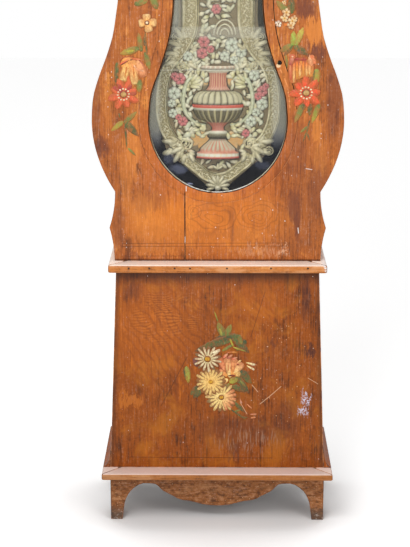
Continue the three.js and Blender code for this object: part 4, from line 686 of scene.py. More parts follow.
def twisted_gut():
    f = Finish("gut_cord")
    x, y, z = f.x, f.y, f.z
    twist = (z * 160 + x * 90 + y * 90).part()
    colour = f.mix(f.rise(abs(twist - 0.5), 0.5, 0.2), srgb(96, 76, 48), srgb(188, 164, 122))
    return f.shaded(colour, Roughness=0.8, Normal=f.bump(abs(twist - 0.5), 0.0008))


TRUNK = trunk_wood()
BASE = base_wood()
SHELF = shelf_wood()
PLINTH = plinth_wood()
SIDES = plain_wood("varnished_side_wood", TRUNK_TONES)
BASE_SIDES = plain_wood("varnished_base_side_wood", BASE_TONES)
HOOD_MOULDING = plain_wood("hood_moulding_wood", MOULDING_TONES, False, srgb(228, 190, 166))
EDGE = worn_edge("rubbed_edge", srgb(104, 58, 34), srgb(206, 138, 84))
DARK_EDGE = worn_edge("dark_edge", srgb(60, 36, 24), srgb(156, 98, 58))
DEAL = raw_deal()
PANE = door_pane()
HOOD_PANE = hood_pane()
IRON = metal("wrought_iron", srgb(70, 66, 64), srgb(44, 42, 42), 0.75, 0.35, 60, srgb(88, 52, 34))
BRASS = metal("aged_brass", srgb(196, 158, 82), srgb(150, 118, 62), 0.95, 0.2, 45)
CAST = metal("cast_iron", srgb(58, 56, 54), srgb(38, 36, 36), 0.6, 0.5, 90, srgb(86, 50, 32))
PRESSED = pressed_brass()
STIPPLED = stippled_brass()
PAINT = folk_paint()
PUTTY = putty()
ENAMEL = enamel()
GUT = twisted_gut()
NUMERAL_BLACK = metal("numeral_black", srgb(22, 22, 28), srgb(36, 34, 40), 0.0, 0.2)


# ---------------------------------------------------------------- making
def pick(*objects):
    """Selects these objects alone, or none, and makes the first one active."""
    bpy.ops.object.select_all(action="DESELECT")
    for made in reversed(objects):
        made.select_set(True)
        bpy.context.view_layer.objects.active = made


def smoothed(piece, degrees):
    pick(piece)
    bpy.ops.object.shade_smooth_by_angle(angle=math.radians(degrees))
    return piece


def joined(name, parts):
    pick(*parts)
    bpy.ops.object.join()
    made = bpy.context.object
    made.name = name
    return made


def copied(name, source):
    made = bpy.data.objects.new(name, source.data.copy())
    bpy.context.scene.collection.objects.link(made)
    return made


def open_mesh():
    bpy.ops.object.mode_set(mode="EDIT")
    bpy.ops.mesh.select_all(action="SELECT")


def closed_mesh():
    bpy.ops.object.mode_set(mode="OBJECT")


def unit(value):
    return min(max(value, 0), 1)


def settle(piece, body, slot_name, *replaced):
    """Puts the place of a finished piece in its mesh, and says what carries it."""
    pick(piece)
    bpy.ops.object.transform_apply()
    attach(piece, body)
    if replaced:
        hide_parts(*replaced)
    return piece


def finish_with(piece, *materials):
    piece.data.materials.clear()
    for material in materials:
        piece.data.materials.append(material)
    return piece


def worn_board(node, slot_name, finish, edge, width=0.0012):
    """A board of the case with its arrises rounded and rubbed."""
    board = copied("worn_" + node, nodes[node])
    pick(board)
    open_mesh()
    bpy.ops.mesh.remove_doubles(threshold=0.00002)
    bpy.ops.mesh.dissolve_limited(angle_limit=math.radians(0.5))
    closed_mesh()
    finish_with(board, finish, edge)
    for face in board.data.polygons:
        face.material_index = 0
    bevel = board.modifiers.new("arris", "BEVEL")
    bevel.width = width
    bevel.segments = 2
    bevel.limit_method = "ANGLE"
    bevel.angle_limit = math.radians(38)
    bevel.material = 1
    bpy.ops.object.modifier_apply(modifier=bevel.name)
    settle(smoothed(board, 28), home[node], slot_name, node)


def case_boards():
    for node in ("trunk_front_left", "trunk_front_right"):
        worn_board(node, "walnut", TRUNK, EDGE, 0.0006)
    for node in ("door_stile_left", "door_stile_right"):
        worn_board(node, "walnut", TRUNK, TRUNK, 0.0004)
    worn_board("base_front_panel", "walnut", BASE, EDGE, 0.0014)
    for node in ("trunk_left_side", "trunk_right_side", "hood_left_side", "hood_right_side", "hood_door_frame"):
        worn_board(node, "walnut", SIDES, EDGE)
    for node in ("base_left_side", "base_right_side", "base_cove_left", "base_cove_right"):
        worn_board(node, "walnut", BASE_SIDES, DARK_EDGE)
    for shelf in ("lower_moulding", "waist_moulding"):
        for part in ("front", "left", "right"):
            worn_board(f"{shelf}_{part}", "moulding", SHELF, EDGE)
    for node in ("hood_base_moulding", "hood_cornice"):
        worn_board(node, "moulding", HOOD_MOULDING, EDGE)
    for node in ("plinth_front", "plinth_left", "plinth_right"):
        worn_board(node, "dark_walnut", PLINTH, DARK_EDGE)


def kept_nodes():
    """The nodes whose shape is right get their finish."""
    ironwork = [node for node in nodes if node.startswith(("door_hinge", "movement"))]
    for material, members in (
            (DEAL, ("base_back", "trunk_back", "seat_board")),
            (IRON, ironwork + ["lock_case", "anchor", "hammer", "pendulum_rod"]),
            (BRASS, ("lock_bolt", "hood_door_knob", "bell", "going_barrel", "strike_barrel", "centre_wheel",
                     "third_wheel", "escape_wheel", "minute_hand", "hour_hand")),
            (CAST, ("going_weight", "strike_weight")), (PANE, ("door_glass",)), (HOOD_PANE, ("hood_door_glass",)),
            (ENAMEL, ("dial",)), (GUT, ("going_cord", "strike_cord")),
            (PRESSED, ("dial_surround", "pendulum_lower_plate", "pendulum_upper_plate"))):
        for node in members:
            finish_with(nodes[node], material)


def smooth_line(points, steps):
    """A rounded line through the points."""
    found = []
    for i in range(len(points) - 1):
        a, b, c, d = (Vector(points[min(max(i + k, 0), len(points) - 1)]) for k in (-1, 0, 1, 2))
        for step in range(steps):
            t = step / steps
            found.append(((2 * b) + (c - a) * t + (2 * a - 5 * b + 4 * c - d) * t ** 2
                          + (3 * b - a - 3 * c + d) * t ** 3) / 2)
    return found + [Vector(points[-1])]


def curve_object(name, points, closed, radii=None):
    """A flat poly curve; drawn as x and height, it stands up when it is made a mesh."""
    curve = bpy.data.curves.new(name, "CURVE")
    curve.dimensions = "2D"
    spline = curve.splines.new("POLY")
    spline.points.add(len(points) - 1)
    for i, (point, place) in enumerate(zip(spline.points, points)):
        point.co = (place[0], place[1], 0, 1)
        point.radius = radii[i] if radii else 1
    spline.use_cyclic_u = closed
    made = bpy.data.objects.new(name, curve)
    bpy.context.scene.collection.objects.link(made)
    return made


def stood_up(made, front):
    """Makes a flat curve a mesh, upright on the plane y = front, with its relief to the front."""
    pick(made)
    bpy.ops.object.convert(target="MESH")
    made = bpy.context.object
    made.data.transform(Matrix.Translation((0, front, 0)) @ Matrix.Rotation(math.pi / 2, 4, "X"))
    return made


def moulded(name, points, profile, front, closed=False, radii=None):
    """Sweeps a profile of (across, proud) along a line of (x, height)."""
    section = curve_object(name + "_profile", profile, True)
    made = curve_object(name, points, closed, radii)
    made.data.bevel_mode = "OBJECT"
    made.data.bevel_object = section
    made.data.use_fill_caps = True
    made = stood_up(made, front)
    bpy.data.objects.remove(section)
    return mended(made)


def mended(made):
    """Merges doubled points and turns every face outwards."""
    pick(made)
    open_mesh()
    bpy.ops.mesh.remove_doubles(threshold=0.00001)
    bpy.ops.mesh.normals_make_consistent(inside=False)
    closed_mesh()
    return made


def sheet_metal(name, right_half, front, thick, colour, cover):
    """A flat painted sheet, the same on both sides of its axis; its right half runs down from the top."""
    made = curve_object(name, right_half + [(-x, z) for x, z in reversed(right_half)], True)
    made.data.fill_mode = "BOTH"
    made.data.extrude = thick / 2
    made = mended(stood_up(made, front + thick / 2))
    return painted(finish_with(made, PRESSED), colour, cover)


def paint_of(made):
    """The points of a piece, each with its paint."""
    layers = made.data.attributes
    return zip(made.data.vertices, (layers.get("paint") or layers.new("paint", "FLOAT_COLOR", "POINT")).data)


def painted(made, colour, cover):
    """Gives the whole piece one paint colour; cover 0 leaves bare brass."""
    for _, paint in paint_of(made):
        paint.color = (*colour, cover)
    return made


def lobe_form(name, widths, segments=10, bend=0):
    """One lobe 1 long along X from the origin, 1 wide where widths is 1, and 1 thick."""
    pick()
    rings = len(widths) + 1
    bpy.ops.mesh.primitive_uv_sphere_add(segments=segments, ring_count=rings, radius=0.5,
                                         rotation=(0, math.pi / 2, 0))
    made = bpy.context.object
    made.name = name
    bpy.ops.object.transform_apply()
    open_mesh()
    mesh = bmesh.from_edit_mesh(made.data)
    for i, width in enumerate(widths):
        bpy.ops.mesh.select_all(action="DESELECT")
        place = -math.cos((i + 1) * math.pi / rings) / 2
        round_width = math.sin((i + 1) * math.pi / rings)
        for point in mesh.verts:
            point.select = abs(point.co.x - place) < 0.01
        mesh.select_flush(True)
        bmesh.update_edit_mesh(made.data)
        bpy.ops.transform.resize(value=(1, 1, width / round_width), center_override=(place, 0, 0))
    closed_mesh()
    if bend:
        curl = made.modifiers.new("curl", "SIMPLE_DEFORM")
        curl.deform_method = "BEND"
        curl.deform_axis = "Y"
        curl.angle = bend
        bpy.ops.object.modifier_apply(modifier=curl.name)
    made.data.transform(Matrix.Translation((0.5, 0, 0)))
    bpy.ops.object.shade_smooth()
    made.hide_set(True)
    return made


PAINT_THICK = 0.0009
PRESSED_FROM = 0.002
# Painted shadow round pressed lobes: how much wider it is than the lobe, and its black
MARGIN = 0.0022
SHADOW_BLACK = srgb(40, 36, 24)


class Cluster:
    """Lobes of one ornament on the plane y = front, placed by the photo's pixels.

    Thicker than PRESSED_FROM they are pressed brass with painted shade by their height, each on a painted shadow, and
    else strokes of paint."""

    def __init__(self, front, thick, cover=1.0, axis=None):
        self.front, self.thick, self.cover, self.axis = front, thick, cover, axis
        self.pixel = pixel_size(front)[0]
        self.parts = []

    def at(self, u, v):
        x, z = spot(u, v, self.front)
        return (x if self.axis is None else (u - self.axis) * self.pixel), z

    def add(self, form, u, v, length, width, angle, colour, tip=None, lift=0.0, thick=None, cover=None,
            flip=False):
        x, z = self.at(u, v)
        self.put(form, x, z, length * self.pixel, width * self.pixel, angle, colour, tip, lift, thick, cover, flip)

    def put(self, form, x, z, length, width, angle, colour, tip=None, lift=0.0, thick=None, cover=None,
            flip=False, margin=False):
        """One lobe from its root at (x, z). A pressed one stands on a wider and thinner black one, which is its painted
        shadow.
        """
        thick = thick or self.thick
        made = copied("lobe", FORMS[form])
        data = made.data
        first, last = Vector(colour), Vector(tip or colour)
        cover = self.cover if cover is None else cover
        for point, paint in paint_of(made):
            share = unit(point.co.x)
            if thick > PRESSED_FROM:
                # Painted shade: the lobe darkens from its crest down to the sheet
                raised = unit(-2.1 * point.co.y)
                shade = 0.07 + raised ** 1.7
                here = max(cover, 1 - raised * 1.2)
            else:
                edge = max(min(abs(point.co.z) * 2, 1) ** 3, share ** 4 * 0.5)
                shade = 1 - 0.3 * edge
                here = cover * (1 - 0.75 * edge)
            paint.color = (*(first.lerp(last, share) * shade), here)
        if flip:
            data.transform(Matrix.Diagonal((1, 1, -1, 1)))
            data.flip_normals()
        data.transform(Matrix.Translation((x, self.front - lift, z)) @ Matrix.Rotation(-angle, 4, "Y")
                       @ Matrix.Diagonal((length, thick, width, 1)))
        self.parts.append(made)
        # Painted shadow: a wider, thinner black lobe under each pressed one
        if thick > PRESSED_FROM and not margin:
            back = MARGIN / 2
            self.put("curled_margin" if form == "curled" else "margin", x - back * math.cos(angle),
                     z - back * math.sin(angle), length + MARGIN, width + MARGIN, angle, SHADOW_BLACK, None, 0.0,
                     PRESSED_FROM + 0.0001, 1.0, flip, True)

    def joined(self, name, material):
        return finish_with(joined(name, self.parts), material)


FORMS = {
    "petal": lobe_form("petal_form", (0.34, 0.62, 0.9, 1.0, 0.72)),
    "leaf": lobe_form("leaf_form", (0.5, 0.92, 1.0, 0.68, 0.26)),
    "curled": lobe_form("curled_form", (0.5, 0.92, 1.0, 0.72, 0.34), bend=math.radians(62)),
    "drop": lobe_form("drop_form", (0.62, 0.94, 1.0, 0.88, 0.55)),
    "round": lobe_form("round_form", (0.5, 0.866, 1.0, 0.866, 0.5)),
    "margin": lobe_form("margin_form", (0.72, 1.0, 0.66), 6),
    "curled_margin": lobe_form("curled_margin_form", (0.72, 1.0, 0.66), 6, math.radians(62)),
}


def ringed(angle_count, start=0.0, spread=2 * math.pi):
    """Angles at even steps."""
    return [start + spread * i / angle_count for i in range(angle_count)]


def disc(cluster, u, v, radius, colour, lift=0.0, thick=None, cover=None):
    cluster.add("round", u - radius, v, 2 * radius, 2 * radius, 0, colour, None, lift, thick, cover)


def daisy(cluster, u, v, radius, count, colour, tip, heart, start, width, lift, heart_size=0.24):
    """Narrow petals on darker ones, with a raised heart."""
    shade = tuple(c * 0.28 for c in colour)
    for angle in ringed(count, start):
        cluster.add("petal", u, v, radius * 1.07, radius * width * 1.5, angle, shade, shade, lift - 0.0001)
    for i, angle in enumerate(ringed(count, start)):
        reach = radius * (0.94 + 0.1 * ((i * 7) % 3))
        cluster.add("petal", u, v, reach, radius * width, angle, colour, tip, lift)
    disc(cluster, u, v, radius * heart_size, heart, lift + 0.0003)


def rose(cluster, u, v, radius, outer, inner, heart, start, lift):
    """Wide petals in two rings round a dark heart."""
    disc(cluster, u, v, radius * 0.9, tuple(c * 0.4 for c in outer), lift - 0.0001)
    for count, share, wide, colour, tip, up in ((6, 1.0, 0.95, inner, outer, 0.0), (5, 0.68, 0.7, outer, inner, 0.0003),
                                                (3, 0.42, 0.42, inner, heart, 0.0006)):
        for angle in ringed(count, start + share):
            cluster.add("petal", u, v, radius * share, radius * wide, angle, colour, tip, lift + up)
    disc(cluster, u, v, radius * 0.16, heart, lift + 0.0008)


# ---------------------------------------------------------------- pendulum
AXIS = 217.5
RELIEF = 0.0065
FLUTE_STEP = 4
PALE_BRASS = srgb(246, 234, 196)
OLIVE = srgb(84, 76, 46)
CREAM = srgb(255, 253, 238)
LEAF_YELLOW = srgb(240, 234, 146)
LEAF_GREY = srgb(206, 222, 196)
PINK = srgb(246, 152, 156)
RED = srgb(222, 78, 66)
ROSE_RED = srgb(212, 66, 88)
ROSE_DARK = srgb(90, 16, 30)
PINK_ROSE = PINK, ROSE_RED, ROSE_DARK
WHITE_ROSE = CREAM, LEAF_GREY, OLIVE
OCHRE_GROUND = srgb(226, 168, 96)
SHEET_OLIVE = srgb(118, 98, 64)
SHEET_THICK = 0.003
SHEET_COVER = 0.92
BAND_WIDTH = 17 * pixel_size(PENDULUM_FRONT)[0]
VINE_STEP = 0.0105
SHELL_RIGHT, SHELL_ROW = 6.5, 35


def hanging(du, v):
    """The (x, height) of a point on the pendulum, du pixels right of its axis, at row v of the photo."""
    return du * pixel_size(PENDULUM_FRONT)[0], spot(AXIS, v, PENDULUM_FRONT)[1]


def hung(*points):
    return [hanging(du, v) for du, v in points]


def mirrored(angle, side):
    """An angle of the right side (1), or the one that matches it on the left side (-1)."""
    return angle if side > 0 else math.pi - angle


def band_profile(width, high):
    """A pressed band: two rounded ridges and a sunk middle between them."""
    half = [(0.5, -0.1), (0.5, 0.42), (0.46, 0.84), (0.4, 0.98), (0.34, 0.88), (0.3, 0.56), (0.27, 0.5),
            (0.0, 0.62)]
    bead = [(-0.27, 0.5), (-0.3, 0.56), (-0.33, 0.86), (-0.37, 0.9), (-0.4, 0.6), (-0.415, 0.2), (-0.43, 0.2),
            (-0.445, 0.6), (-0.475, 0.76), (-0.5, 0.5), (-0.5, -0.1)]
    return [(x * width, y * high) for x, y in half + bead]


def brass_band(name, points, width, high, closed=False, radii=None, front=PENDULUM_FRONT):
    """A pressed band along a line, stippled where it is sunk, with painted shade darkening its low parts."""
    made = moulded(name, points, band_profile(width, high), front, closed, radii)
    finish_with(made, PRESSED, STIPPLED)
    sunk = front - high * 0.56
    for face in made.data.polygons:
        if face.center.y > sunk and face.normal.y < -0.9 and face.area > 1e-8:
            face.material_index = 1
    painted(smoothed(made, 50), PALE_BRASS, 0)
    # Painted shade: the low parts of the profile are darkened nearly to black
    for point, paint in paint_of(made):
        raised = unit((front - point.co.y) / high)
        if raised < 0.45:
            paint.color = (*(c * (0.06 + raised * 0.6) for c in PALE_BRASS), 1)
    return made


def vine(name, points, width, step=VINE_STEP, front=PENDULUM_FRONT):
    """A pressed vine along the sunk middle of a band: curled leaves left and right in turn, with a bead."""
    row = Cluster(front - RELIEF * 0.6, 0.0019, 0.25)
    gone, count = 0.0, 0
    for first, last in zip(points, points[1:]):
        way = last - first
        gone += way.length
        if gone < step / 2:
            continue
        gone = 0.0
        count += 1
        angle = math.atan2(way.y, way.x)
        row.put("curled", first.x, first.y, step * 0.8, width, angle + (0.7 if count % 2 else -0.7), PALE_BRASS,
                CREAM, flip=bool(count % 2))
        row.put("round", first.x - width * 0.3, first.y, width * 0.6, width * 0.6, 0, CREAM)
    return row.joined(name, PRESSED)


def volute(cluster, du, v, radius, way, start):
    """A scroll end: lobes laid on a closing spiral round a round eye."""
    turns, count = 1.6, 17
    for i in range(count):
        share = i / count
        angle = start + way * share * turns * 2 * math.pi
        reach = radius * (1 - 0.72 * share)
        u, w = AXIS + du + reach * math.cos(angle), v - reach * math.sin(angle)
        length = radius * (0.95 - 0.5 * share)
        cluster.add("round", u - length * 0.5 * math.cos(angle + way * math.pi / 2),
                    w + length * 0.5 * math.sin(angle + way * math.pi / 2),
                    length, radius * (0.44 - 0.2 * share), angle + way * math.pi / 2, PALE_BRASS)
    disc(cluster, AXIS + du, v, radius * 0.3, PALE_BRASS, 0.0005)


def acanthus(cluster, du, v, length, width, angle):
    """A leaf of three fat lobes fanned from one root, the middle one longest and raised."""
    for turn, long, wide, lift in ((-0.65, 0.58, 0.8, 0), (0, 1, 1, 0.0024), (0.65, 0.58, 0.8, 0)):
        cluster.add("drop", AXIS + du, v, length * long, width * wide, angle + turn, PALE_BRASS, CREAM, lift)


def turned(name, rows, count, flat, fluted, colours):
    """A body turned in the picture's plane: rows of (half width, height), pressed flat against the sheet.

    fluted lists (lowest, highest, depth) of the rows that get flutes. colours lists (lowest, highest, colour,
    colour in the flutes, cover)."""
    pick()
    half, low = rows[0]
    bpy.ops.mesh.primitive_circle_add(vertices=count, radius=half, fill_type="NGON", location=(0, 0, low))
    made = bpy.context.object
    made.name = name
    bpy.ops.object.transform_apply()
    open_mesh()
    for (half, low), (wide, high) in zip(rows, rows[1:]):
        bpy.ops.mesh.extrude_region_move(TRANSFORM_OT_translate={"value": (0, 0, high - low)})
        bpy.ops.transform.resize(value=(wide / half, wide / half, 1), center_override=(0, 0, high))
    mesh = bmesh.from_edit_mesh(made.data)
    for lowest, highest, depth in fluted:
        bpy.ops.mesh.select_all(action="DESELECT")
        for point in mesh.verts:
            step = round(math.atan2(point.co.y, point.co.x) / (2 * math.pi) * count) % count
            point.select = lowest <= point.co.z <= highest and step % FLUTE_STEP == 0
        mesh.select_flush(True)
        bmesh.update_edit_mesh(made.data)
        bpy.ops.transform.resize(value=(1 - depth, 1 - depth, 1), center_override=(0, 0, 0))
    bpy.ops.mesh.select_all(action="SELECT")
    bpy.ops.transform.resize(value=(1, flat, 1), center_override=(0, 0, 0))
    bpy.ops.mesh.bisect(plane_co=(0, 0.0004, 0), plane_no=(0, 1, 0), use_fill=True, clear_outer=True)
    bpy.ops.mesh.select_all(action="SELECT")
    bpy.ops.mesh.normals_make_consistent(inside=False)
    closed_mesh()
    smoothed(made, 40)
    made.data.transform(Matrix.Translation((0, PENDULUM_FRONT, 0)))
    for point, paint in paint_of(made):
        turn = math.atan2((point.co.y - PENDULUM_FRONT) / flat, point.co.x)
        step = round(turn / (2 * math.pi) * count) % count
        for lowest, highest, first, second, cover in colours:
            if lowest <= point.co.z < highest:
                paint.color = (*(second if step % FLUTE_STEP == 0 else first), cover)
    return finish_with(made, PRESSED)


def urn():
    """The pressed urn on a black margin that is its painted shadow: gadrooned shoulder, fluted bowl and foot, red
    bands.
    """
    dark, pale_red = srgb(58, 50, 34), srgb(198, 88, 76)
    rows = hung(
        (21.5, 158), (21.5, 156.4), (20.6, 155), (21.2, 153.4), (20.4, 152), (17.5, 151), (17, 148), (13.4, 144.5),
        (9.2, 141), (7.4, 138.2), (9.3, 137.2), (9.6, 134), (9.3, 131.2), (6.2, 130), (5.6, 128), (6.4, 126),
        (9.5, 123), (15, 121), (19.4, 117.6), (22.4, 113.4), (23.7, 110), (24.2, 107.4), (25.2, 106.8),
        (25.2, 104.4), (24.4, 103.6), (24.8, 101), (24, 97), (21.6, 93.4), (17.6, 91.4), (13.4, 90.4), (10.8, 88.6),
        (9, 86), (8.4, 82), (8.4, 77), (8.9, 73), (11.4, 71.2), (16.4, 70.4), (17.3, 68.8), (17.3, 66.6),
        (16.2, 65.4), (12.4, 65.4), (11.4, 66.4))
    level = lambda v: hanging(0, v)[1]
    fluted = [(level(low), level(high), depth) for low, high, depth in (
        (152.2, 138, 0.12), (122.4, 108, 0.11), (103, 90.8, 0.12))]
    colours = [(level(low), level(high), *paint) for low, high, *paint in (
        (170, 157.2, dark, dark, 1), (157.2, 155.4, RED, RED, 0.9), (155.4, 152.6, CREAM, PALE_BRASS, 0.7),
        (152.6, 150.6, RED, RED, 0.6), (150.6, 138.4, srgb(206, 192, 162), RED, 0.8), (138.4, 136.6, dark, dark, 1),
        (136.6, 133, srgb(120, 116, 88), dark, 0.8), (133, 130.6, CREAM, CREAM, 0.6),
        (130.6, 122.8, srgb(204, 100, 88), srgb(140, 56, 50), 0.85),
        (122.8, 108.6, srgb(70, 60, 36), srgb(206, 192, 146), 0.9), (108.6, 107.2, CREAM, CREAM, 0.7),
        (107.2, 104.2, RED, RED, 0.9), (104.2, 102.6, dark, dark, 1),
        (102.6, 90.8, srgb(212, 204, 168), srgb(50, 40, 24), 0.8), (90.8, 89.6, dark, dark, 0.9),
        (89.6, 86.5, srgb(226, 160, 140), srgb(200, 100, 80), 0.8), (86.5, 71.5, pale_red, srgb(232, 190, 150), 0.85),
        (71.5, 69.4, CREAM, CREAM, 0.6), (69.4, 67, dark, dark, 0.9), (67, 60, srgb(226, 190, 170), CREAM, 0.7))]
    # Painted shadow: a black sheet a little wider than the urn, under it
    margin = sheet_metal("urn_margin", [(x + MARGIN, z) for x, z in rows], PENDULUM_FRONT - 0.0007, 0.0009, SHADOW_BLACK, 1)
    return margin, turned("urn", rows, 88, 0.34, fluted, colours)


def urn_handles():
    """Two pale handles with painted shade, dark where they meet the sheet, each on a black margin that is its painted
    shadow.
    """
    made, thick = [], 0.0043
    line = hung((19, 82), (23.5, 77.5), (28.5, 79), (32, 86), (34, 96), (33.8, 106), (30.6, 114.4), (25, 120.4),
                (18.6, 123.6), (12, 124.6))
    for side in (1, -1):
        points = smooth_line([(side * x, z) for x, z in line], 5)
        ring = [(math.cos(a) * thick, math.sin(a) * thick * 1.5) for a in ringed(10)]
        radii = [0.55 + 0.65 * math.sin(math.pi * min(i / (len(points) - 1) * 1.1, 1)) for i in range(len(points))]
        handle = moulded("urn_handle", points, ring, PENDULUM_FRONT, False, radii)
        # A flat black copy under the handle is its painted shadow
        margin = moulded("handle_margin", points, [(x * 1.4, y * 0.2) for x, y in ring], PENDULUM_FRONT, False, radii)
        painted(margin, SHADOW_BLACK, 1)
        painted(handle, CREAM, 0.3)
        # Painted shade: darker the nearer a point lies to the sheet
        for point, paint in paint_of(handle):
            raised = unit((PENDULUM_FRONT - point.co.y) / thick)
            paint.color = (*(c * (0.08 + 0.92 * raised ** 1.5) for c in LEAF_GREY), 1 - 0.5 * raised)
        for piece in (handle, margin):
            finish_with(piece, PRESSED)
            pick(piece)
            bpy.ops.object.shade_smooth()
            made.append(piece)
    return made


def backing_sheet():
    """The olive sheet behind the relief."""
    half = hung((38.5, 0), (38.5, 22), (42, 31), (50, 38), (53, 50), (51.5, 60), (53, 66), (58, 78), (60, 90),
                (60.4, 105), (59.6, 120), (56, 133), (53, 143), (50, 152), (44, 158), (37, 163), (30, 169), (23, 175),
                (14, 182.5), (8, 188), (0.4, 190))
    outline = [tuple(place) for place in smooth_line(half, 5)]
    return sheet_metal("pendulum_sheet", outline, PENDULUM_FRONT, SHEET_THICK, SHEET_OLIVE, SHEET_COVER)


def foliage_field(ground):
    """Leaves and small flowers between the urn and the oval band, and round the top of the field."""
    sprigs = random.Random(11)
    for side in (1, -1):
        for du, v, length, width, angle, colour, tip, flip in (
                (16, 82, 13, 7, 0.7, LEAF_YELLOW, CREAM, False), (16, 84, 12, 6, -0.1, LEAF_YELLOW, CREAM, True),
                (14, 79, 10, 5, 1.5, LEAF_YELLOW, PALE_BRASS, False), (34, 108, 12, 6, -0.4, LEAF_GREY, CREAM, True),
                (33, 96, 12, 6, 0.3, LEAF_GREY, CREAM, False), (27, 121, 12, 6, -1.0, LEAF_GREY, CREAM, False),
                (20, 127, 13, 6, -0.7, PALE_BRASS, CREAM, True), (24, 133, 12, 6, -0.3, LEAF_GREY, CREAM, False),
                (28, 142, 10, 5, 0.5, LEAF_YELLOW, CREAM, True), (12, 127, 9, 5, -0.3, LEAF_YELLOW, CREAM, False),
                (36, 87, 11, 5, 1.0, PALE_BRASS, CREAM, True), (30, 70, 13, 6, 0.9, LEAF_GREY, CREAM, False),
                (36, 64, 12, 6, 0.2, LEAF_GREY, PALE_BRASS, True), (22, 66, 12, 6, 1.3, LEAF_GREY, CREAM, False),
                (12, 62, 13, 6, 1.1, LEAF_YELLOW, CREAM, True), (40, 76, 10, 5, 0.2, PALE_BRASS, CREAM, False)):
            ground.add("curled", AXIS + side * du, v, length, width, mirrored(angle, side), colour, tip, 0, None,
                       0.55, flip if side > 0 else not flip)
    # Filling sprays, clear of the urn
    rows = [(du * 5.2 + sprigs.uniform(-2, 2), v * 5.2 + sprigs.uniform(-2, 2))
            for du in range(-10, 11) for v in range(33)]
    for du, v in rows:
        half_field = 50 if v > 72 else 20 + 30 * unit((v - 34) / 38)
        half_field = min(half_field, 51 * math.sqrt(max(0.0, 1 - (max(v - 96, 0) / 74) ** 2)))
        urn_half = 10.5 if v < 88 else 25.5 if v < 120 else 10 if v < 138 else 23 if v < 161 else 0
        if (abs(du) > half_field - 4 or (abs(du) < urn_half and v > 62) or v > 170
                or (abs(du - SHELL_RIGHT) < 11 and 18 < v < 37)):
            continue
        colour = sprigs.choice((LEAF_GREY, LEAF_YELLOW, PALE_BRASS, LEAF_GREY, CREAM))
        if v > 124:
            colour = sprigs.choice((OCHRE_GROUND, LEAF_YELLOW, PALE_BRASS))
        turn = sprigs.uniform(0, 2 * math.pi)
        ground.add(sprigs.choice(("leaf", "curled", "drop")), AXIS + du - 4 * math.cos(turn), v + 4 * math.sin(turn),
                   sprigs.uniform(6.5, 9.5), sprigs.uniform(3.4, 5.2), turn, colour, CREAM, 0, 0.0075,
                   sprigs.uniform(0.3, 0.7), sprigs.random() < 0.5)
    # Warm ground beside the foot and the neck
    for side in (1, -1):
        for du, v, radius in ((16, 138, 8), (14, 145, 6), (13, 80, 6), (24, 141, 6)):
            disc(ground, AXIS + side * du, v, radius, OCHRE_GROUND, 0.0, 0.0012, 0.95)
    # Flowers
    for u, v, radius in ((203.5, 41.5, 6.4), (202, 53, 6), (210, 49, 4.4), (180, 78.6, 6.5), (175, 76, 4.4),
                         (261, 91, 6), (257, 96, 4.6), (264.5, 86, 3.8), (183, 121, 5.4), (178.6, 117, 3.6),
                         (215.7, 9, 5.4), (245, 133, 4.6)):
        rose(ground, u, v, radius, *PINK_ROSE, radius, 0.0015)
    for u, v, radius, count in ((231, 45, 7.4, 9), (240, 52, 6, 8), (224, 56, 5.4, 8), (233, 60, 4.8, 7),
                                (174.6, 93, 7, 9), (172, 103, 4.6, 7), (253, 75, 6, 8), (261, 104, 6.4, 8),
                                (250, 121, 6, 8), (255, 112, 4.8, 7), (188, 56, 5.4, 8), (173, 113, 5, 7)):
        rose(ground, u, v, radius, *WHITE_ROSE, count, 0.0015)
    for u, v in ((241, 66), (196, 92), (189, 131), (198, 62)):
        ground.add("drop", u - 4, v, 6, 4, 0.8, PALE_BRASS, CREAM, 0.001)


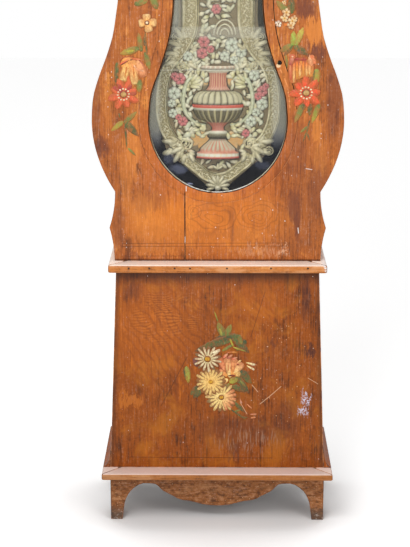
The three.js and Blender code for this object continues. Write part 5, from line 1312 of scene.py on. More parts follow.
def lower_pendulum():
    """The wide pressed part that the photo shows: sheet, bands, shell, corner leaves, foliage, handles, urn."""
    parts = [backing_sheet()]
    frame_line = hung((27, 0), (27, 12), (27.2, 24), (29, 34), (33, 44), (39, 54), (46, 63), (51.4, 74), (54.4, 88),
                      (55.6, 104), (54.6, 118), (51, 130), (45, 140), (38, 146))
    bottom = hung((34, 156), (27, 163), (20, 168.5), (11, 175.5), (0, 178.5))
    for side in (1, -1):
        points = smooth_line([(side * x, z) for x, z in frame_line], 5)
        radii = [1 - 0.3 * unit((i / (len(points) - 1) - 0.12) / 0.3) for i in range(len(points))]
        parts.append(brass_band("lyre_band", points, BAND_WIDTH, RELIEF, False, radii))
        parts.append(vine("lyre_vine", points, 0.0034))
        points = smooth_line([(side * x, z) for x, z in bottom], 6)
        points[-1] = Vector((0, points[-1].y))
        parts.append(brass_band("point_band", points, BAND_WIDTH * 0.66, RELIEF))
        parts.append(vine("point_vine", points, 0.003))
    # Half rings of a shell above the bouquet
    for radius in (4.4, 7.4, 10.6):
        arc = hung(*((SHELL_RIGHT + radius * math.cos(a), SHELL_ROW - radius * 1.45 * math.sin(a))
                     for a in ringed(13, 0.05, 3.3)))
        ring = [(math.cos(a) * 0.0017, math.sin(a) * 0.0034) for a in ringed(8)]
        made = moulded("shell_arc", [Vector(place) for place in arc], ring, PENDULUM_FRONT)
        parts.append(painted(finish_with(made, PRESSED), CREAM, 0.4))
    leaves = Cluster(PENDULUM_FRONT, RELIEF * 1.9, 0.25, AXIS)
    for side in (1, -1):
        # Clumps at the lower corners of the oval, and leaves curling off the flaring bands
        for du, v, length, width, angle in (
                (33, 146, 17, 6, -0.45), (36, 150, 15, 5.6, -1.0), (40, 142, 16, 6, 0.1), (44, 150, 10, 5, -0.5),
                (29, 152, 12, 5.4, -2.1), (34, 154, 10, 5, -1.5), (33, 40, 15, 5.6, 0.95), (35, 46, 16, 5.6, 0.35),
                (38, 53, 15, 5.4, 0.0), (40, 60, 14, 5.2, -0.35), (30, 62, 12, 5, -2.6), (26, 50, 11, 4.6, 2.4)):
            acanthus(leaves, side * du, v, length, width, mirrored(angle, side))
        for du, v, radius, way, start in ((31.5, 143.5, 6, side, 0.4), (36, 66, 4.6, side, 1.2),
                                          (41, 37, 3.8, -side, 2.4)):
            volute(leaves, side * du, v, radius, way, start)
    volute(leaves, 51, 151, 4.4, -1, 2.0)
    # Palmette and knob at the lowest point
    for angle in ringed(7, math.radians(8), math.radians(164 * 7 / 6)):
        leaves.add("drop", AXIS, 186, 12.5, 4.6, angle, PALE_BRASS, CREAM, 0.002, RELIEF * 2)
    for side in (1, -1):
        leaves.add("drop", AXIS + side * 3, 187, 9, 4, math.pi / 2 - side * 1.9, PALE_BRASS, CREAM, 0.001)
        leaves.add("leaf", AXIS, 169, 7, 3.4, math.pi / 2 - side * 0.9, PALE_BRASS, CREAM, 0.001)
    leaves.add("leaf", AXIS, 170, 8, 3.6, math.pi / 2, PALE_BRASS, CREAM, 0.001)
    leaves.add("drop", AXIS - 44, 150, 12, 6, math.pi + 0.35, PALE_BRASS, CREAM, 0.001)
    disc(leaves, AXIS, 187.6, 3.4, CREAM, 0.003)
    parts.append(leaves.joined("pendulum_leaves", PRESSED))
    field = Cluster(PENDULUM_FRONT, 0.0085, 0.9, AXIS)
    foliage_field(field)
    # Leaf tufts on the handles, at the urn's lip and at its stem
    for side in (1, -1):
        for du, v, length, width, angle, colour in (
                (27, 84, 13, 4.6, 2.75, LEAF_YELLOW), (27, 82, 12, 4.4, 2.3, LEAF_YELLOW),
                (28, 86, 12, 4.2, 3.25, LEAF_YELLOW), (28, 80, 9, 4, 1.8, LEAF_YELLOW),
                (20, 76, 12, 4.4, 1.7, LEAF_YELLOW), (21, 70, 9, 3.6, 2.2, CREAM), (21, 68, 7, 3.2, 1.2, LEAF_GREY),
                (16, 126, 9, 4, 0.4, LEAF_YELLOW), (17, 129, 9, 3.6, -0.2, LEAF_YELLOW)):
            field.add("drop", AXIS + side * du, v, length, width, mirrored(angle, side), colour, CREAM, 0.0022,
                      0.009, 0.5)
    parts.append(field.joined("pendulum_foliage", PRESSED))
    parts += urn_handles()
    parts += urn()
    return parts


def upper_pendulum():
    """The part above the photo: the two bands run on and close in, with sprays between them."""
    foot, top = hanging(0, 0)[1], 1.671
    foot_half, top_half = 0.0821975, 0.041
    height = lambda share: foot + (top - foot) * share
    half = lambda share: foot_half + (top_half - foot_half) * share
    edge = [(half(i / 12), height(i / 12)) for i in range(13)]
    parts = [sheet_metal("upper_sheet", edge, PENDULUM_FRONT, SHEET_THICK, SHEET_OLIVE, SHEET_COVER)]
    width = 17.5 * pixel_size(PENDULUM_FRONT)[0]
    for side in (1, -1):
        points, radii = [], []
        for i in range(25):
            share = i / 24
            size = 1 - 0.45 * share
            points.append(Vector((side * (half(share) - width * size / 2), height(share) - (0.002 if i else 0))))
            radii.append(size)
        parts.append(brass_band("upper_band", points, width, RELIEF, False, radii))
        parts.append(vine("upper_vine", points, 0.0034))
    spray = Cluster(PENDULUM_FRONT, 0.008, 0.9, AXIS)
    up = math.pi / 2
    for i in range(9):
        share = 0.06 + i * 0.105
        size = 1 - 0.4 * share
        u, v = AXIS, row_at(height(share))
        for side in (1, -1):
            turn = up - side * 0.85
            spray.add("curled", u + side * 2, v, 15 * size, 7 * size, turn, LEAF_GREY, CREAM, 0, None, 0.5, side > 0)
            for along, rise in ((4, 8), (7, 1), (9, 14)):
                spray.add("leaf", u + side * along * size, v + rise, 9 * size, 4 * size, up - side * 1.35,
                          LEAF_YELLOW if along == 4 else LEAF_GREY, CREAM, 0, None, 0.5)
            spray.add("curled", u + side, v - 9, 13 * size, 5 * size, up - side * 0.5, PALE_BRASS, CREAM, 0, None,
                      0.4, side < 0)
            disc(spray, u + side * 11 * size, v - 6, 2.2 * size, CREAM)
        if i % 3 == 0:
            rose(spray, u, v + 2, 8 * size, PINK, RED, ROSE_DARK, 0.3, 0.0015)
        elif i % 3 == 1:
            daisy(spray, u, v + 2, 8 * size, 10, CREAM, LEAF_GREY, PALE_BRASS, 0.2, 0.42, 0.0015)
        else:
            acanthus(spray, 0, v + 4, 13 * size, 6 * size, up)
    return parts + [spray.joined("upper_spray", PRESSED)]


def row_at(height):
    """The row v of the photo at which the pendulum's plane has this height."""
    low, high = -400.0, 500.0
    for _ in range(40):
        middle = (low + high) / 2
        if spot(AXIS, middle, PENDULUM_FRONT)[1] > height:
            low = middle
        else:
            high = middle
    return low


def pendulum():
    for name, parts, node in (("pendulum_urn_relief", lower_pendulum(), "pendulum_lower_plate"),
                              ("pendulum_upper_relief", upper_pendulum(), "pendulum_upper_plate")):
        settle(joined(name, parts), "pendulum", "pressed_brass", node)


# ---------------------------------------------------------------- painted flowers
DARK_GREEN = srgb(50, 66, 36)
GREEN = srgb(86, 102, 44)
LIGHT_GREEN = srgb(136, 142, 60)
YELLOW_GREEN = srgb(176, 168, 52)
PETAL_CREAM = srgb(246, 232, 190)
PETAL_SAND = srgb(246, 214, 146)
PETAL_YELLOW = srgb(248, 216, 136)
PEACH = srgb(240, 156, 104)
ORANGE = srgb(240, 160, 66)
ORANGE_RED = srgb(232, 82, 36)
DEEP_RED = srgb(150, 36, 38)
HEART_YELLOW = srgb(214, 160, 30)
BEIGE = srgb(196, 166, 100)
CORAL = srgb(226, 120, 70)
SHADOW_BROWN = srgb(120, 70, 30)


def strokes(cluster, form, rows):
    """Brush strokes: from pixel to pixel, width, colour at the root and at the tip, layer."""
    for u, v, end_u, end_v, width, colour, tip, layer in rows:
        length = math.hypot(end_u - u, end_v - v)
        cluster.add(form, u, v, length, width, math.atan2(v - end_v, end_u - u), colour, tip, layer * 0.0001)


def star_flower(cluster, u, v, radius, colour, tip, start):
    """Eight broad petals, a ring of white dots and a beige heart."""
    for i, angle in enumerate(ringed(8, start)):
        cluster.add("drop", u, v, radius * (1.14 if i % 3 else 0.96), radius * 0.62, angle, DEEP_RED, colour, 0.0002)
    for i, angle in enumerate(ringed(8, start)):
        cluster.add("leaf", u, v, radius * (1.2 if i % 3 else 1.0), radius * 0.52, angle + 0.06, colour, tip, 0.0004)
        cluster.add("leaf", u, v, radius * 0.95, radius * 0.1, angle - 0.12, DEEP_RED, colour, 0.0005)
    disc(cluster, u, v, radius * 0.3, srgb(70, 30, 20), 0.0006)
    for angle in ringed(12, 0.1):
        disc(cluster, u + radius * 0.4 * math.cos(angle), v - radius * 0.4 * math.sin(angle), radius * 0.075,
             PETAL_CREAM, 0.0007)
    disc(cluster, u, v, radius * 0.21, BEIGE, 0.0008)


def base_bouquet():
    """Three daisies and a peach rose among leaves, on the base."""
    bunch = Cluster(BASE_FRONT, PAINT_THICK)
    strokes(bunch, "leaf", (
        (218.5, 323, 214, 310, 1.6, GREEN, YELLOW_GREEN, 0), (224, 337, 217.5, 321, 9, GREEN, LIGHT_GREEN, 1),
        (225, 338, 231.5, 323, 8, GREEN, LIGHT_GREEN, 1), (222, 336, 219, 326, 4, LIGHT_GREEN, YELLOW_GREEN, 2),
        (234, 336.5, 199, 348.6, 8.5, DARK_GREEN, GREEN, 2), (231, 341, 205, 349, 5, GREEN, DARK_GREEN, 3),
        (233, 337, 250, 354.5, 9, GREEN, DARK_GREEN, 1), (239, 335, 242, 347, 6, GREEN, LIGHT_GREEN, 2),
        (229.8, 338.5, 233.8, 348, 2.6, YELLOW_GREEN, YELLOW_GREEN, 4),
        (233, 347, 247, 352, 2.4, YELLOW_GREEN, LIGHT_GREEN, 4), (222, 351, 235, 343, 4, LIGHT_GREEN, GREEN, 1),
        (186.4, 366, 188.6, 385, 7.4, LIGHT_GREEN, YELLOW_GREEN, 1), (242, 337, 214, 338, 10, GREEN, DARK_GREEN, 0),
        (228, 332, 224, 345, 9, DARK_GREEN, GREEN, 0), (246, 340, 236, 352, 9, DARK_GREEN, GREEN, 0),
        (216, 344, 194, 352, 8, GREEN, DARK_GREEN, 1), (240, 370, 252, 385, 10, DARK_GREEN, GREEN, 0),
        (232, 386, 248, 392, 8, GREEN, DARK_GREEN, 0), (200, 386, 190, 396, 9, DARK_GREEN, GREEN, 0),
        (234, 402, 246, 414, 5, GREEN, DARK_GREEN, 0), (183.8, 368, 185.6, 381, 2.2, DARK_GREEN, GREEN, 2),
        (201.5, 389, 193, 399.5, 7.5, GREEN, DARK_GREEN, 1), (236, 375, 249.6, 395.6, 8, GREEN, DARK_GREEN, 1),
        (237, 377, 250.5, 371, 4.6, GREEN, DARK_GREEN, 1), (239, 379, 247, 389, 3, LIGHT_GREEN, GREEN, 2),
        (229, 383, 226, 391, 3.4, LIGHT_GREEN, GREEN, 1), (231, 409.5, 247.5, 421, 2.4, DARK_GREEN, GREEN, 1),
        (233, 412, 242, 409, 2.2, GREEN, LIGHT_GREEN, 1), (240, 417, 248.5, 417.5, 2, DARK_GREEN, GREEN, 1),
        (196, 357, 196.5, 368, 8, srgb(96, 70, 92), srgb(70, 44, 50), 0),
        (229, 382, 239, 378.5, 8, YELLOW_GREEN, LIGHT_GREEN, 2)))
    # The peach rose behind the daisies
    disc(bunch, 230, 366.5, 11.6, srgb(150, 66, 30), 0.0001)
    strokes(bunch, "petal", (
        (226, 372, 219, 356, 8, PEACH, srgb(216, 112, 60), 2), (228, 376, 218, 370, 8, ORANGE, PEACH, 2),
        (230, 378, 227, 355, 9, PETAL_YELLOW, PEACH, 3), (231, 377, 235, 356.5, 9, ORANGE, PEACH, 3),
        (232, 374, 243.5, 362, 9, PETAL_YELLOW, PEACH, 3), (232, 374, 241, 374, 7, ORANGE, PETAL_YELLOW, 3),
        (228, 379, 222, 383, 7, PETAL_YELLOW, ORANGE, 2)))
    strokes(bunch, "leaf", (
        (223, 358, 228, 353, 3.4, srgb(226, 92, 54), srgb(250, 190, 150), 5),
        (227, 358.5, 233, 354, 3.2, DEEP_RED, srgb(250, 176, 130), 5),
        (232, 359.5, 237.5, 357, 3, srgb(226, 92, 54), srgb(250, 190, 150), 5),
        (237, 363.5, 241.5, 359.5, 3, PEACH, PETAL_YELLOW, 5), (228, 375.6, 237, 374.8, 1.8, OLD_DARK, DEEP_RED, 6),
        (226, 352.4, 238, 352, 2, srgb(176, 74, 30), ORANGE, 2)))
    for u in (225, 228, 231, 234):
        bunch.add("leaf", u, 372, 12, 1.3, math.radians(88), srgb(214, 120, 60), PEACH, 0.0006)
    disc(bunch, 237.9, 364.4, 1.1, DEEP_RED, 0.0007)
    daisy(bunch, 221.5, 397.2, 15.2, 17, PETAL_YELLOW, PETAL_YELLOW, HEART_YELLOW, 0.15, 0.24, 0.0004, 0.2)
    for angle in (-1.2, -0.85, -0.5, -0.15, 0.2, 0.55):
        bunch.add("petal", 221.5, 397.2, 16, 3.8, angle, PETAL_YELLOW, srgb(238, 138, 92), 0.0006)
    disc(bunch, 221.5, 397.2, 3.2, srgb(96, 58, 14), 0.0008)
    disc(bunch, 221.5, 397.2, 2.3, HEART_YELLOW, 0.001)
    daisy(bunch, 210.9, 381.7, 14.8, 19, srgb(240, 190, 100), PETAL_YELLOW, HEART_YELLOW, 0.05, 0.25, 0.0007, 0.17)
    daisy(bunch, 207.6, 358.9, 13.2, 15, srgb(214, 190, 130), PETAL_CREAM, srgb(90, 60, 20), 0.2, 0.21, 0.0009, 0.28)
    disc(bunch, 207.6, 358.9, 2.9, HEART_YELLOW, 0.0014)
    strokes(bunch, "petal", (
        (246, 362.6, 255.8, 365.2, 3.2, PETAL_YELLOW, PETAL_CREAM, 2),
        (246.6, 365.4, 255, 370.4, 2.6, PETAL_YELLOW, PETAL_CREAM, 2),
        (212, 353, 220.5, 349.5, 4, PETAL_CREAM, PETAL_CREAM, 10),
        (250, 414.5, 257, 414, 2, srgb(196, 120, 90), PEACH, 1), (250.5, 418, 256, 417, 2, PEACH, PEACH, 1),
        (240, 399, 242, 404, 1.8, PEACH, srgb(230, 170, 150), 1), (247, 404, 252, 409, 1.6, PEACH, PEACH, 1)))
    settle(bunch.joined("base_bouquet", PAINT), "case", "enamel")


def left_spray(flowers):
    """Leaves, a cream flower, a hanging tulip and a red star flower beside the glass."""
    strokes(flowers, "leaf", (
        (134, 4.5, 148, 0.5, 7, GREEN, LIGHT_GREEN, 1), (152, -4, 157, 9, 9, LIGHT_GREEN, GREEN, 1),
        (145, 31, 147.4, 66, 2.4, DARK_GREEN, GREEN, 0), (141.4, 52, 138.6, 33, 6.4, GREEN, LIGHT_GREEN, 1),
        (144.6, 46, 145.4, 33, 4, DARK_GREEN, GREEN, 1), (139.6, 48, 120, 54, 8.4, GREEN, YELLOW_GREEN, 2),
        (136, 50, 124, 52, 3, YELLOW_GREEN, YELLOW_GREEN, 3), (145, 52, 149.6, 69, 7, GREEN, LIGHT_GREEN, 1),
        (117, 62, 115.6, 85, 5.4, GREEN, DARK_GREEN, 1), (139.5, 79, 139, 92.5, 7.4, GREEN, LIGHT_GREEN, 2),
        (123.5, 121, 111, 131, 6.2, LIGHT_GREEN, YELLOW_GREEN, 1), (124, 123, 137, 111.6, 6.2, GREEN, LIGHT_GREEN, 1),
        (124.5, 121, 138.5, 136.5, 8, GREEN, DARK_GREEN, 1), (125, 124, 126.6, 149, 2.4, DARK_GREEN, GREEN, 1),
        (119, 113, 119.8, 118, 2, DARK_GREEN, GREEN, 1), (128, 148, 136, 156, 3, LIGHT_GREEN, GREEN, 1)))
    # Cream flower of four petals
    for end in ((146.4, 14), (138.6, 23.4), (156.6, 22.6), (149.4, 32)):
        strokes(flowers, "petal", ((146.9, 22.7, *end, 10.6, SHADOW_BROWN, SHADOW_BROWN, 2),
                                   (146.9, 22.7, *end, 9.2, ORANGE, PETAL_SAND, 4)))
    disc(flowers, 146.9, 22.7, 2.5, OLD_DARK, 0.0008)
    disc(flowers, 146.9, 22.7, 1.5, PETAL_CREAM, 0.001)
    # Hanging tulip: a rounded cup that opens into three petals
    strokes(flowers, "round", (
        (120.6, 60, 142.6, 72, 19, DEEP_RED, DEEP_RED, 1), (121, 60.6, 142, 72, 18, ORANGE, srgb(240, 170, 110), 3)))
    strokes(flowers, "petal", (
        (128.6, 58.5, 122, 82, 11.5, DEEP_RED, ORANGE, 2), (131.5, 58.5, 135, 86, 11, DEEP_RED, ORANGE, 2),
        (137, 58.5, 144, 77, 11, DEEP_RED, PEACH, 2), (128.6, 59.5, 122.6, 81, 9.6, ORANGE, PETAL_YELLOW, 4),
        (131.6, 59.5, 134.6, 84.6, 9, srgb(236, 130, 60), PETAL_YELLOW, 4),
        (137, 60, 143.4, 76, 9, srgb(240, 170, 110), PEACH, 4)))
    strokes(flowers, "leaf", (
        (119.6, 64.6, 129, 58.6, 1.8, ORANGE_RED, PEACH, 7), (120.4, 65.4, 129.6, 60, 1.2, OLD_DARK, DEEP_RED, 8),
        (132, 58.6, 141, 59.6, 2, ORANGE_RED, PEACH, 7), (130, 60.4, 133, 58.8, 1.4, OLD_DARK, DEEP_RED, 8),
        (133.6, 65, 138, 71, 2, srgb(250, 200, 160), PEACH, 7), (138, 70, 144, 71, 2, PEACH, srgb(250, 206, 170), 7),
        (127, 66, 124.6, 78, 1.6, srgb(206, 110, 40), ORANGE, 7),
        (133, 66, 134.4, 80, 1.6, srgb(206, 110, 40), ORANGE, 7),
        (127.4, 74, 128.6, 84, 4, srgb(214, 76, 40), srgb(230, 120, 60), 3)))
    star_flower(flowers, 123.5, 94.4, 14, srgb(220, 84, 40), srgb(230, 100, 60), 0.3)
    for angle in (2.0, 2.5, 0.1, 0.9):
        flowers.add("petal", 123.5, 94.4, 13, 5, angle, DEEP_RED, srgb(170, 52, 56), 0.0005)
    for u, v in ((145, 87), (147.4, 88.6), (146, 90)):
        disc(flowers, u, v, 0.8, PEACH, 0.0002)


def right_spray(flowers):
    """Leaves, small cream flowers, a tulip and a red star flower beside the glass."""
    strokes(flowers, "leaf", (
        (290, 14, 276, 1, 8, GREEN, LIGHT_GREEN, 1), (291, 14, 291.5, -3, 9, GREEN, DARK_GREEN, 1),
        (293, 46, 293.4, 31, 7, srgb(120, 150, 50), srgb(172, 200, 76), 2),
        (295, 46, 303, 27.5, 7.4, LIGHT_GREEN, srgb(214, 206, 84), 3), (292.5, 45, 280, 51.5, 8, LIGHT_GREEN, GREEN, 1),
        (293, 45, 284, 56, 5, GREEN, DARK_GREEN, 1), (294, 46, 308.5, 54.5, 8.4, GREEN, DARK_GREEN, 1),
        (297, 49, 303, 55, 5, srgb(84, 92, 80), DARK_GREEN, 2), (317, 68.5, 316, 85, 8.6, LIGHT_GREEN, YELLOW_GREEN, 1),
        (314.4, 70, 313.6, 82, 2.2, GREEN, GREEN, 2), (304, 102, 295, 123, 7.4, GREEN, LIGHT_GREEN, 1),
        (306, 101, 301, 112, 6, DARK_GREEN, GREEN, 1), (319.6, 103, 312, 123.5, 6.6, GREEN, YELLOW_GREEN, 1),
        (310, 104, 310, 116, 6, DARK_GREEN, GREEN, 0), (310, 120, 306.6, 134, 2.4, DARK_GREEN, GREEN, 1),
        (308, 126, 300, 133, 3.2, GREEN, LIGHT_GREEN, 1), (306.6, 132, 303, 142, 2, GREEN, DARK_GREEN, 1),
        (306.6, 132, 310, 141, 2, GREEN, DARK_GREEN, 1), (286, 55, 287.5, 68, 3, LIGHT_GREEN, GREEN, 1)))
    for u, v, radius in ((286.6, 12.4, 4), (284.6, 18.4, 3.8), (292.4, 21, 4), (291, 25.6, 3.6), (294.6, 18.6, 3.2),
                         (284.4, 2.6, 2.2)):
        daisy(flowers, u, v, radius, 5, srgb(214, 170, 110), srgb(246, 226, 176), HEART_YELLOW, 0.3, 0.9, 0.0003)
    daisy(flowers, 278.6, 23.8, 3.2, 5, PETAL_CREAM, srgb(246, 244, 236), OLD_DARK, 0.3, 0.9, 0.0003)
    disc(flowers, 285.8, 24.6, 1.6, srgb(232, 126, 40), 0.0008)
    # Tulip with curled top corners
    strokes(flowers, "round", (
        (290, 68.5, 314.6, 67.5, 23, DEEP_RED, DEEP_RED, 0), (291, 68.5, 313.6, 67.5, 21, ORANGE, ORANGE, 1)))
    strokes(flowers, "petal", (
        (291.5, 57, 293.6, 83.5, 10, DEEP_RED, srgb(214, 120, 50), 2), (297, 57, 299, 79, 11, DEEP_RED, ORANGE, 2),
        (304, 57, 305, 77.5, 11, DEEP_RED, ORANGE, 2), (310, 57, 310, 77, 10, DEEP_RED, ORANGE, 2)))
    for u, v, end_v in ((294, 62, 83), (297, 61, 80), (300, 62, 77), (303.4, 61, 76), (306.6, 62, 76), (309.6, 62, 75)):
        tone = srgb(246, 180, 60) if v == 61 else PETAL_YELLOW
        strokes(flowers, "leaf", ((u, v, u + 0.2, end_v, 3.2, srgb(226, 110, 40), tone, 5),))
    strokes(flowers, "curled", (
        (290, 66, 293, 55, 5, DEEP_RED, srgb(236, 160, 130), 6),
        (311.5, 66, 309.4, 54.6, 6, PEACH, srgb(246, 190, 140), 6),
        (296, 59, 303, 59, 2.4, DEEP_RED, srgb(180, 50, 60), 7), (315.6, 64, 311, 56, 4.6, CORAL, PEACH, 6)))
    strokes(flowers, "leaf", (
        (291, 80, 289.6, 62, 3.4, srgb(190, 70, 40), PEACH, 5), (294, 59.6, 308, 59.4, 2.6, DEEP_RED, DEEP_RED, 6)))
    disc(flowers, 292.4, 56.6, 3, srgb(214, 104, 70), 0.0006)
    disc(flowers, 292.4, 56.6, 1.1, srgb(240, 190, 150), 0.0009)
    disc(flowers, 311.6, 57.4, 3, CORAL, 0.0006)
    star_flower(flowers, 306.2, 92.9, 14.6, srgb(226, 66, 30), srgb(242, 92, 44), 0.05)


def trunk_flowers():
    for name, spray, side in (("left_trunk_flowers", left_spray, -1), ("right_trunk_flowers", right_spray, 1)):
        flowers = Cluster(TRUNK_FRONT, PAINT_THICK)
        spray(flowers)
        neck_flowers(flowers, side)
        settle(flowers.joined(name, PAINT), "case", "enamel")


def neck_flowers(flowers, side):
    """Above the photo the spray runs on up the neck and the shoulder, growing smaller."""
    chain = [(0.1335, 1.20), (0.1345, 1.245), (0.1345, 1.295), (0.1345, 1.345), (0.135, 1.40), (0.136, 1.455),
             (0.1385, 1.51), (0.144, 1.565), (0.152, 1.62), (0.164, 1.675), (0.176, 1.725)]
    for i, (x, z) in enumerate(chain):
        size = 1 - 0.035 * i
        x *= side
        long, wide = 13 * size * flowers.pixel, 5.5 * size * flowers.pixel
        for turn, tone, tip in ((1.1, GREEN, LIGHT_GREEN), (2.2, DARK_GREEN, GREEN), (-1.0, GREEN, YELLOW_GREEN)):
            flowers.put("leaf", x, z, long, wide, turn + 0.3 * (i % 3), tone, tip, 0.0001)
        u, v = pixel_of(x, z)
        if i % 3 == 0:
            daisy(flowers, u, v, 7 * size, 9, srgb(240, 178, 76), PETAL_YELLOW, HEART_YELLOW, 0.1, 0.4, 0.0004)
        elif i % 3 == 1:
            star_flower(flowers, u, v, 9.5 * size, srgb(226, 74, 34), srgb(240, 100, 50), 0.2)
        else:
            for angle in ringed(4, 0.8):
                flowers.add("petal", u, v, 7 * size, 6 * size, angle, ORANGE, PETAL_SAND, 0.0004)
            disc(flowers, u, v, 1.8 * size, OLD_DARK, 0.0008)


def pixel_of(x, z, front=TRUNK_FRONT):
    """The pixel of the photo's frame, extended upwards, that shows (x, z) on the plane y = front."""
    place = Vector((x, front, z)) - EYE
    local = Matrix.Rotation(TILT, 3, "X") @ Matrix.Rotation(-TURN, 3, "Z") @ place
    return (PHOTO_SIZE[0] / 2 + local.x / local.y * FOCAL_PIXELS,
            PHOTO_SIZE[1] / 2 - local.z / local.y * FOCAL_PIXELS)


# ---------------------------------------------------------------- door and dial
GLASS_FOOT = 0.6032
NECK_HALF, BELLY_HALF = 0.09, 0.147
BELLY_DEPTH, BELLY_HEIGHT, FLANK_HEIGHT, NECK_HEIGHT = 0.1554, 0.3038, 0.3432, 1.007
PUTTY_INSET = 0.0011
DOOR_MARGIN = 0.02025


def glass_line(offset):
    """The closed outline of the glass, from the foot up the right side, moved outwards by offset."""
    right = []
    for i in range(24):
        angle = i / 24 * math.pi / 2
        right.append((BELLY_HALF * math.sin(angle), BELLY_HEIGHT - BELLY_DEPTH * math.cos(angle)))
    narrowing = ((0, 0), (.08, .035), (.155, .095), (.23, .23), (.3, .4), (.4, .6), (.49, .76), (.59, .87),
                 (.73, .95), (1, 1))
    for share, close in smooth_line(narrowing, 4):
        right.append((BELLY_HALF - (BELLY_HALF - NECK_HALF) * close, BELLY_HEIGHT + FLANK_HEIGHT * share))
    for i in range(1, 25):
        angle = i / 24 * math.pi / 2
        right.append((NECK_HALF * math.cos(angle), NECK_HEIGHT + NECK_HALF * math.sin(angle)))
    whole = right + [(-x, z) for x, z in reversed(right[1:-1])]
    count = len(whole)
    moved = []
    for i, (x, z) in enumerate(whole):
        before, after = Vector(whole[i - 1]), Vector(whole[(i + 1) % count])
        way = (after - before).normalized()
        moved.append(Vector((x + way.y * offset, GLASS_FOOT + z - way.x * offset)))
    return moved


def door_trim():
    """The putty round the glass, and the thin strip that closes the door's joint on the left and at the foot."""
    section = [(-0.0012, 0), (0.0014, 0), (0.0014, 0.0052), (0.0007, 0.0054), (-0.0009, 0.0014)]
    bead = moulded("putty_bead", glass_line(-PUTTY_INSET), section, PUTTY_BACK, True)
    settle(smoothed(finish_with(bead, PUTTY), 60), "waist_door", "walnut")
    line = glass_line(DOOR_MARGIN)
    top = max(range(len(line)), key=lambda i: line[i].y)
    left = line[top:] + [place for place in line[:top] if place.y < spot(290, 112, TRUNK_FRONT)[1]]
    section = [(-0.0007, -0.004), (0.0007, -0.004), (0.0007, 0.0), (-0.0007, 0.0)]
    strip = moulded("door_edge_fill", left, section, TRUNK_FRONT + 0.0001)
    settle(finish_with(strip, TRUNK), "waist_door", "walnut")


def dial_depth(radius):
    """How far the enamel bulges in front of the dial's back, at a radius in metres."""
    steps = ((0, 0.007), (0.008, 0.007), (0.0708, 0.006), (0.1145, 0.003), (0.118, 0.0015))
    for (near, high), (far, low) in zip(steps, steps[1:]):
        if radius <= far:
            return high + (low - high) * (radius - near) / (far - near)
    return 0.0


NUMERALS = ("XII", "I", "II", "III", "IIII", "V", "VI", "VII", "VIII", "IX", "X", "XI")


def dial_numerals():
    """Hour numerals of black bars that lie on the enamel's curve."""
    pick()
    bpy.ops.mesh.primitive_cube_add(size=1)
    bar = bpy.context.object
    open_mesh()
    bpy.ops.mesh.bevel(offset=0.08, segments=1)
    closed_mesh()
    # Bars of each letter: shift in millimetres, lean, share of the full thickness
    bars = {"I": ((0, 0, 1.0),), "V": ((-1.5, 0.16, 1.0), (1.5, -0.16, 0.4)), "X": ((0, 0.3, 1.0), (0, -0.3, 0.4))}
    widths = {"I": 4.4, "V": 7.4, "X": 8.0}
    middle, tall, thick = 0.0895, 0.021, 0.0026
    slope = (dial_depth(0.08) - dial_depth(0.1)) / 0.02
    parts = []
    for hour, numeral in enumerate(NUMERALS):
        turn = -hour * math.pi / 6
        total = sum(widths[c] for c in numeral)
        across = -total / 2
        lay = (Matrix.Translation(DIAL_MIDDLE) @ Matrix.Rotation(-turn, 4, "Y")
               @ Matrix.Translation((0, -dial_depth(middle), middle)) @ Matrix.Rotation(-math.atan(slope), 4, "X"))
        for letter in numeral:
            centre = (across + widths[letter] / 2) * 0.001
            across += widths[letter]
            for shift, lean, heavy in bars[letter]:
                part = copied("bar", bar)
                part.data.transform(lay @ Matrix.Translation((centre + shift * 0.001, 0, 0))
                                    @ Matrix.Rotation(-lean, 4, "Y")
                                    @ Matrix.Diagonal((thick * heavy, 0.0006, tall / math.cos(lean), 1)))
                parts.append(part)
        for end in (-tall / 2, tall / 2):
            part = copied("bar", bar)
            part.data.transform(lay @ Matrix.Translation((0, 0, end))
                                @ Matrix.Diagonal((total * 0.001, 0.0005, 0.0009, 1)))
            parts.append(part)
    made = joined("dial_numerals", parts)
    bpy.data.objects.remove(bar)
    settle(finish_with(made, NUMERAL_BLACK), "case", "enamel")


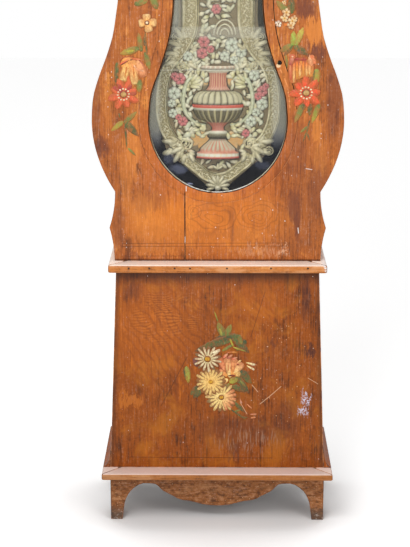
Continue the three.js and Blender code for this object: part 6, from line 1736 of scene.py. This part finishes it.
def dial_surround():
    """Pressed and painted brass round the dial: a ring, a border, corner leaves and a shell in the arch."""
    front = DIAL_MIDDLE.y
    sheet = painted(finish_with(mended(copied("surround_sheet", nodes["dial_surround"])), PRESSED), SHEET_OLIVE,
                    SHEET_COVER)
    ring_radius, half, foot, shoulder = 0.129, 0.168, 1.860, 2.130
    arch_half, arch_foot, arch_rise = 0.144, 2.131, 0.084
    ring = [Vector((ring_radius * math.cos(a), DIAL_MIDDLE.z + ring_radius * math.sin(a))) for a in ringed(64)]
    arch = [Vector((arch_half * math.cos(a), arch_foot + arch_rise * math.sin(a)))
            for a in ringed(17, 0, math.pi * 17 / 16)]
    border = [Vector((-half, foot)), Vector((half, foot)), Vector((half, shoulder)), *arch, Vector((-half, shoulder))]
    parts = [sheet, brass_band("dial_ring", ring, 0.020, RELIEF, True, None, front),
             brass_band("border_band", border, 0.013, 0.005, True, None, front),
             vine("dial_vine", ring + ring[:1], 0.004, 0.011, front)]
    relief = Cluster(front, 0.0085, 0.9)
    for side in (1, -1):
        def leaf(form, x, z, length, width, angle, colour, tip, lift=0.0):
            relief.add(form, *pixel_of(side * x, z, front), length, width, mirrored(angle, side), colour, tip, lift,
                       None, 0.5, side < 0)

        def flower(x, z, radius, *colours):
            rose(relief, *pixel_of(side * x, z, front), radius, *colours, 0.4, 0.003)
        for z, up in ((1.876, 1), (2.116, -1)):
            for turn, length in ((1.62, 27), (1.95, 19), (2.36, 15), (2.77, 19), (3.1, 27)):
                leaf("drop", 0.153, z, length, 6, turn * up, PALE_BRASS, CREAM, 0.001)
            flower(0.141, z + up * 0.012, 5.5, *PINK_ROSE)
            flower(0.118, z + up * 0.004, 3.6, *WHITE_ROSE)
            leaf("curled", 0.150, z + up * 0.054, 13, 6, 1.5 * up, LEAF_YELLOW, CREAM)
            leaf("leaf", 0.151, z + up * 0.080, 13, 5, 1.6 * up, LEAF_GREY, CREAM)
        for x, z, radius in ((0.1505, DIAL_MIDDLE.z, 4.4), (0.048, 2.162, 5.6), (0.070, 2.172, 4.4)):
            flower(x, z, radius, *PINK_ROSE)
        for x, z, radius in ((0.074, 2.152, 5), (0.052, 2.186, 3.8)):
            flower(x, z, radius, *WHITE_ROSE)
        for x, z, angle, length in ((0.086, 2.146, 0.15, 15), (0.088, 2.158, 0.7, 13), (0.062, 2.182, 0.5, 12),
                                    (0.100, 2.138, -0.35, 14), (0.034, 2.172, 1.1, 12)):
            leaf("curled", x, z, length, 6, angle, LEAF_YELLOW if length % 2 else LEAF_GREY, CREAM)
    for angle in ringed(9, 0.5, 2.14 * 9 / 8):
        relief.add("drop", *pixel_of(0, 2.152, front), 23, 5.4, angle, PALE_BRASS, CREAM, 0.002)
    disc(relief, *pixel_of(0, 2.154, front), 4, CREAM, 0.004)
    parts.append(relief.joined("surround_leaves", PRESSED))
    settle(joined("dial_surround_relief", parts), home["dial_surround"], "pressed_brass", "dial_surround")


CORD_RADIUS = 0.0015
CORD_STEPS = 60


def weight_cords():
    """Two gut cords that lengthen as their weights run down."""
    for weight, node in (("going_weight", "going_cord"), ("strike_weight", "strike_cord")):
        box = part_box(node)
        x = (box[0][0] + box[1][0]) / 2
        y = (box[0][1] + box[1][1]) / 2
        low, high = box[0][2], box[1][2]
        pick()
        bpy.ops.mesh.primitive_cylinder_add(vertices=12, radius=CORD_RADIUS, depth=high - low,
                                            location=(x, y, (low + high) / 2))
        cord = bpy.context.object
        cord.name = weight + "_gut_line"
        bpy.ops.object.transform_apply()
        open_mesh()
        for i in range(1, CORD_STEPS):
            bpy.ops.mesh.select_all(action="SELECT")
            bpy.ops.mesh.bisect(plane_co=(0, 0, low + (high - low) * i / CORD_STEPS), plane_no=(0, 0, 1))
        closed_mesh()
        finish_with(smoothed(cord, 50), GUT)
        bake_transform(cord, "case", weight, start=(x, y, high), end=(x, y, low))
        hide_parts(node)


ROOM_LIGHT = 0.45
FLOOR_GLOW = 0.53


def white_room():
    """A white world: at full strength where it is seen, or mirrored, or seen through glass, and weaker as light."""
    world = bpy.data.worlds.new("white_room")
    bpy.context.scene.world = world
    world.use_nodes = True
    tree = world.node_tree
    tree.nodes.clear()
    path = tree.nodes.new("ShaderNodeLightPath")
    seen = path.outputs["Is Camera Ray"]
    for ray in ("Is Glossy Ray", "Is Transmission Ray"):
        either = tree.nodes.new("ShaderNodeMath")
        either.operation = "MAXIMUM"
        tree.links.new(seen, either.inputs[0])
        tree.links.new(path.outputs[ray], either.inputs[1])
        seen = either.outputs[0]
    blend = tree.nodes.new("ShaderNodeMixShader")
    tree.links.new(seen, blend.inputs[0])
    for place, strength in ((1, ROOM_LIGHT), (2, 1.0)):
        white = tree.nodes.new("ShaderNodeBackground")
        white.inputs["Color"].default_value = (1, 1, 1, 1)
        white.inputs["Strength"].default_value = strength
        tree.links.new(white.outputs[0], blend.inputs[place])
    tree.links.new(blend.outputs[0], tree.nodes.new("ShaderNodeOutputWorld").inputs[0])


def studio():
    """Pale floor and a white room, lit from above and in front; near the clock the floor's glow is dimmed, a painted
    shadow.
    """
    bpy.ops.mesh.primitive_plane_add(size=14, location=(0, 1.0, 0))
    floor = bpy.context.object
    floor.name = "studio_floor"
    f = Finish("pale_floor")
    path = f.tree.nodes.new("ShaderNodeLightPath")
    seen = Value(f, path.outputs["Is Camera Ray"])
    matt = f.shader((0.86, 0.86, 0.86), Roughness=0.9)
    # Painted shadow: the floor's glow for the camera fades where the clock is near
    near = f.node("ShaderNodeAmbientOcclusion", {"samples": 16}, {"Distance": 0.55}, "AO")
    unshadowed_floor = f.rise(near, 0.45, 0.98)
    lit = f.node("ShaderNodeEmission", None, {
        "Color": f.mix(unshadowed_floor, (0.0, 0.0, 0.0), (1.0, 1.0, 1.0)), "Strength": FLOOR_GLOW})
    nothing = f.node("ShaderNodeEmission", None, {"Strength": 0.0})
    added = f.node("ShaderNodeMixShader", None, {0: seen, 1: nothing, 2: lit})
    finish_with(floor, f.surface(f.node("ShaderNodeAddShader", None, {0: matt, 1: added})))

    white_room()
    for place, aim, size, power in (
            ((-1.1, -3.0, 3.9), (0, 0, 0.9), 1.8, 92), ((1.9, -2.6, 2.2), (0, 0, 1.0), 1.5, 22),
            ((-0.5, -3.7, 1.7), (0, 0, 1.0), 1.0, 20)):
        way = Vector(aim) - Vector(place)
        bpy.ops.object.light_add(type="AREA", location=place, rotation=way.to_track_quat("-Z", "Y").to_euler())
        lamp = bpy.context.object.data
        lamp.shape = "DISK"
        lamp.size = size
        lamp.energy = power
    bpy.context.scene.view_settings.view_transform = "Standard"


case_boards()
kept_nodes()
pendulum()
base_bouquet()
trunk_flowers()
door_trim()
dial_numerals()
dial_surround()
weight_cords()
for form in FORMS.values():
    bpy.data.objects.remove(form)
studio()
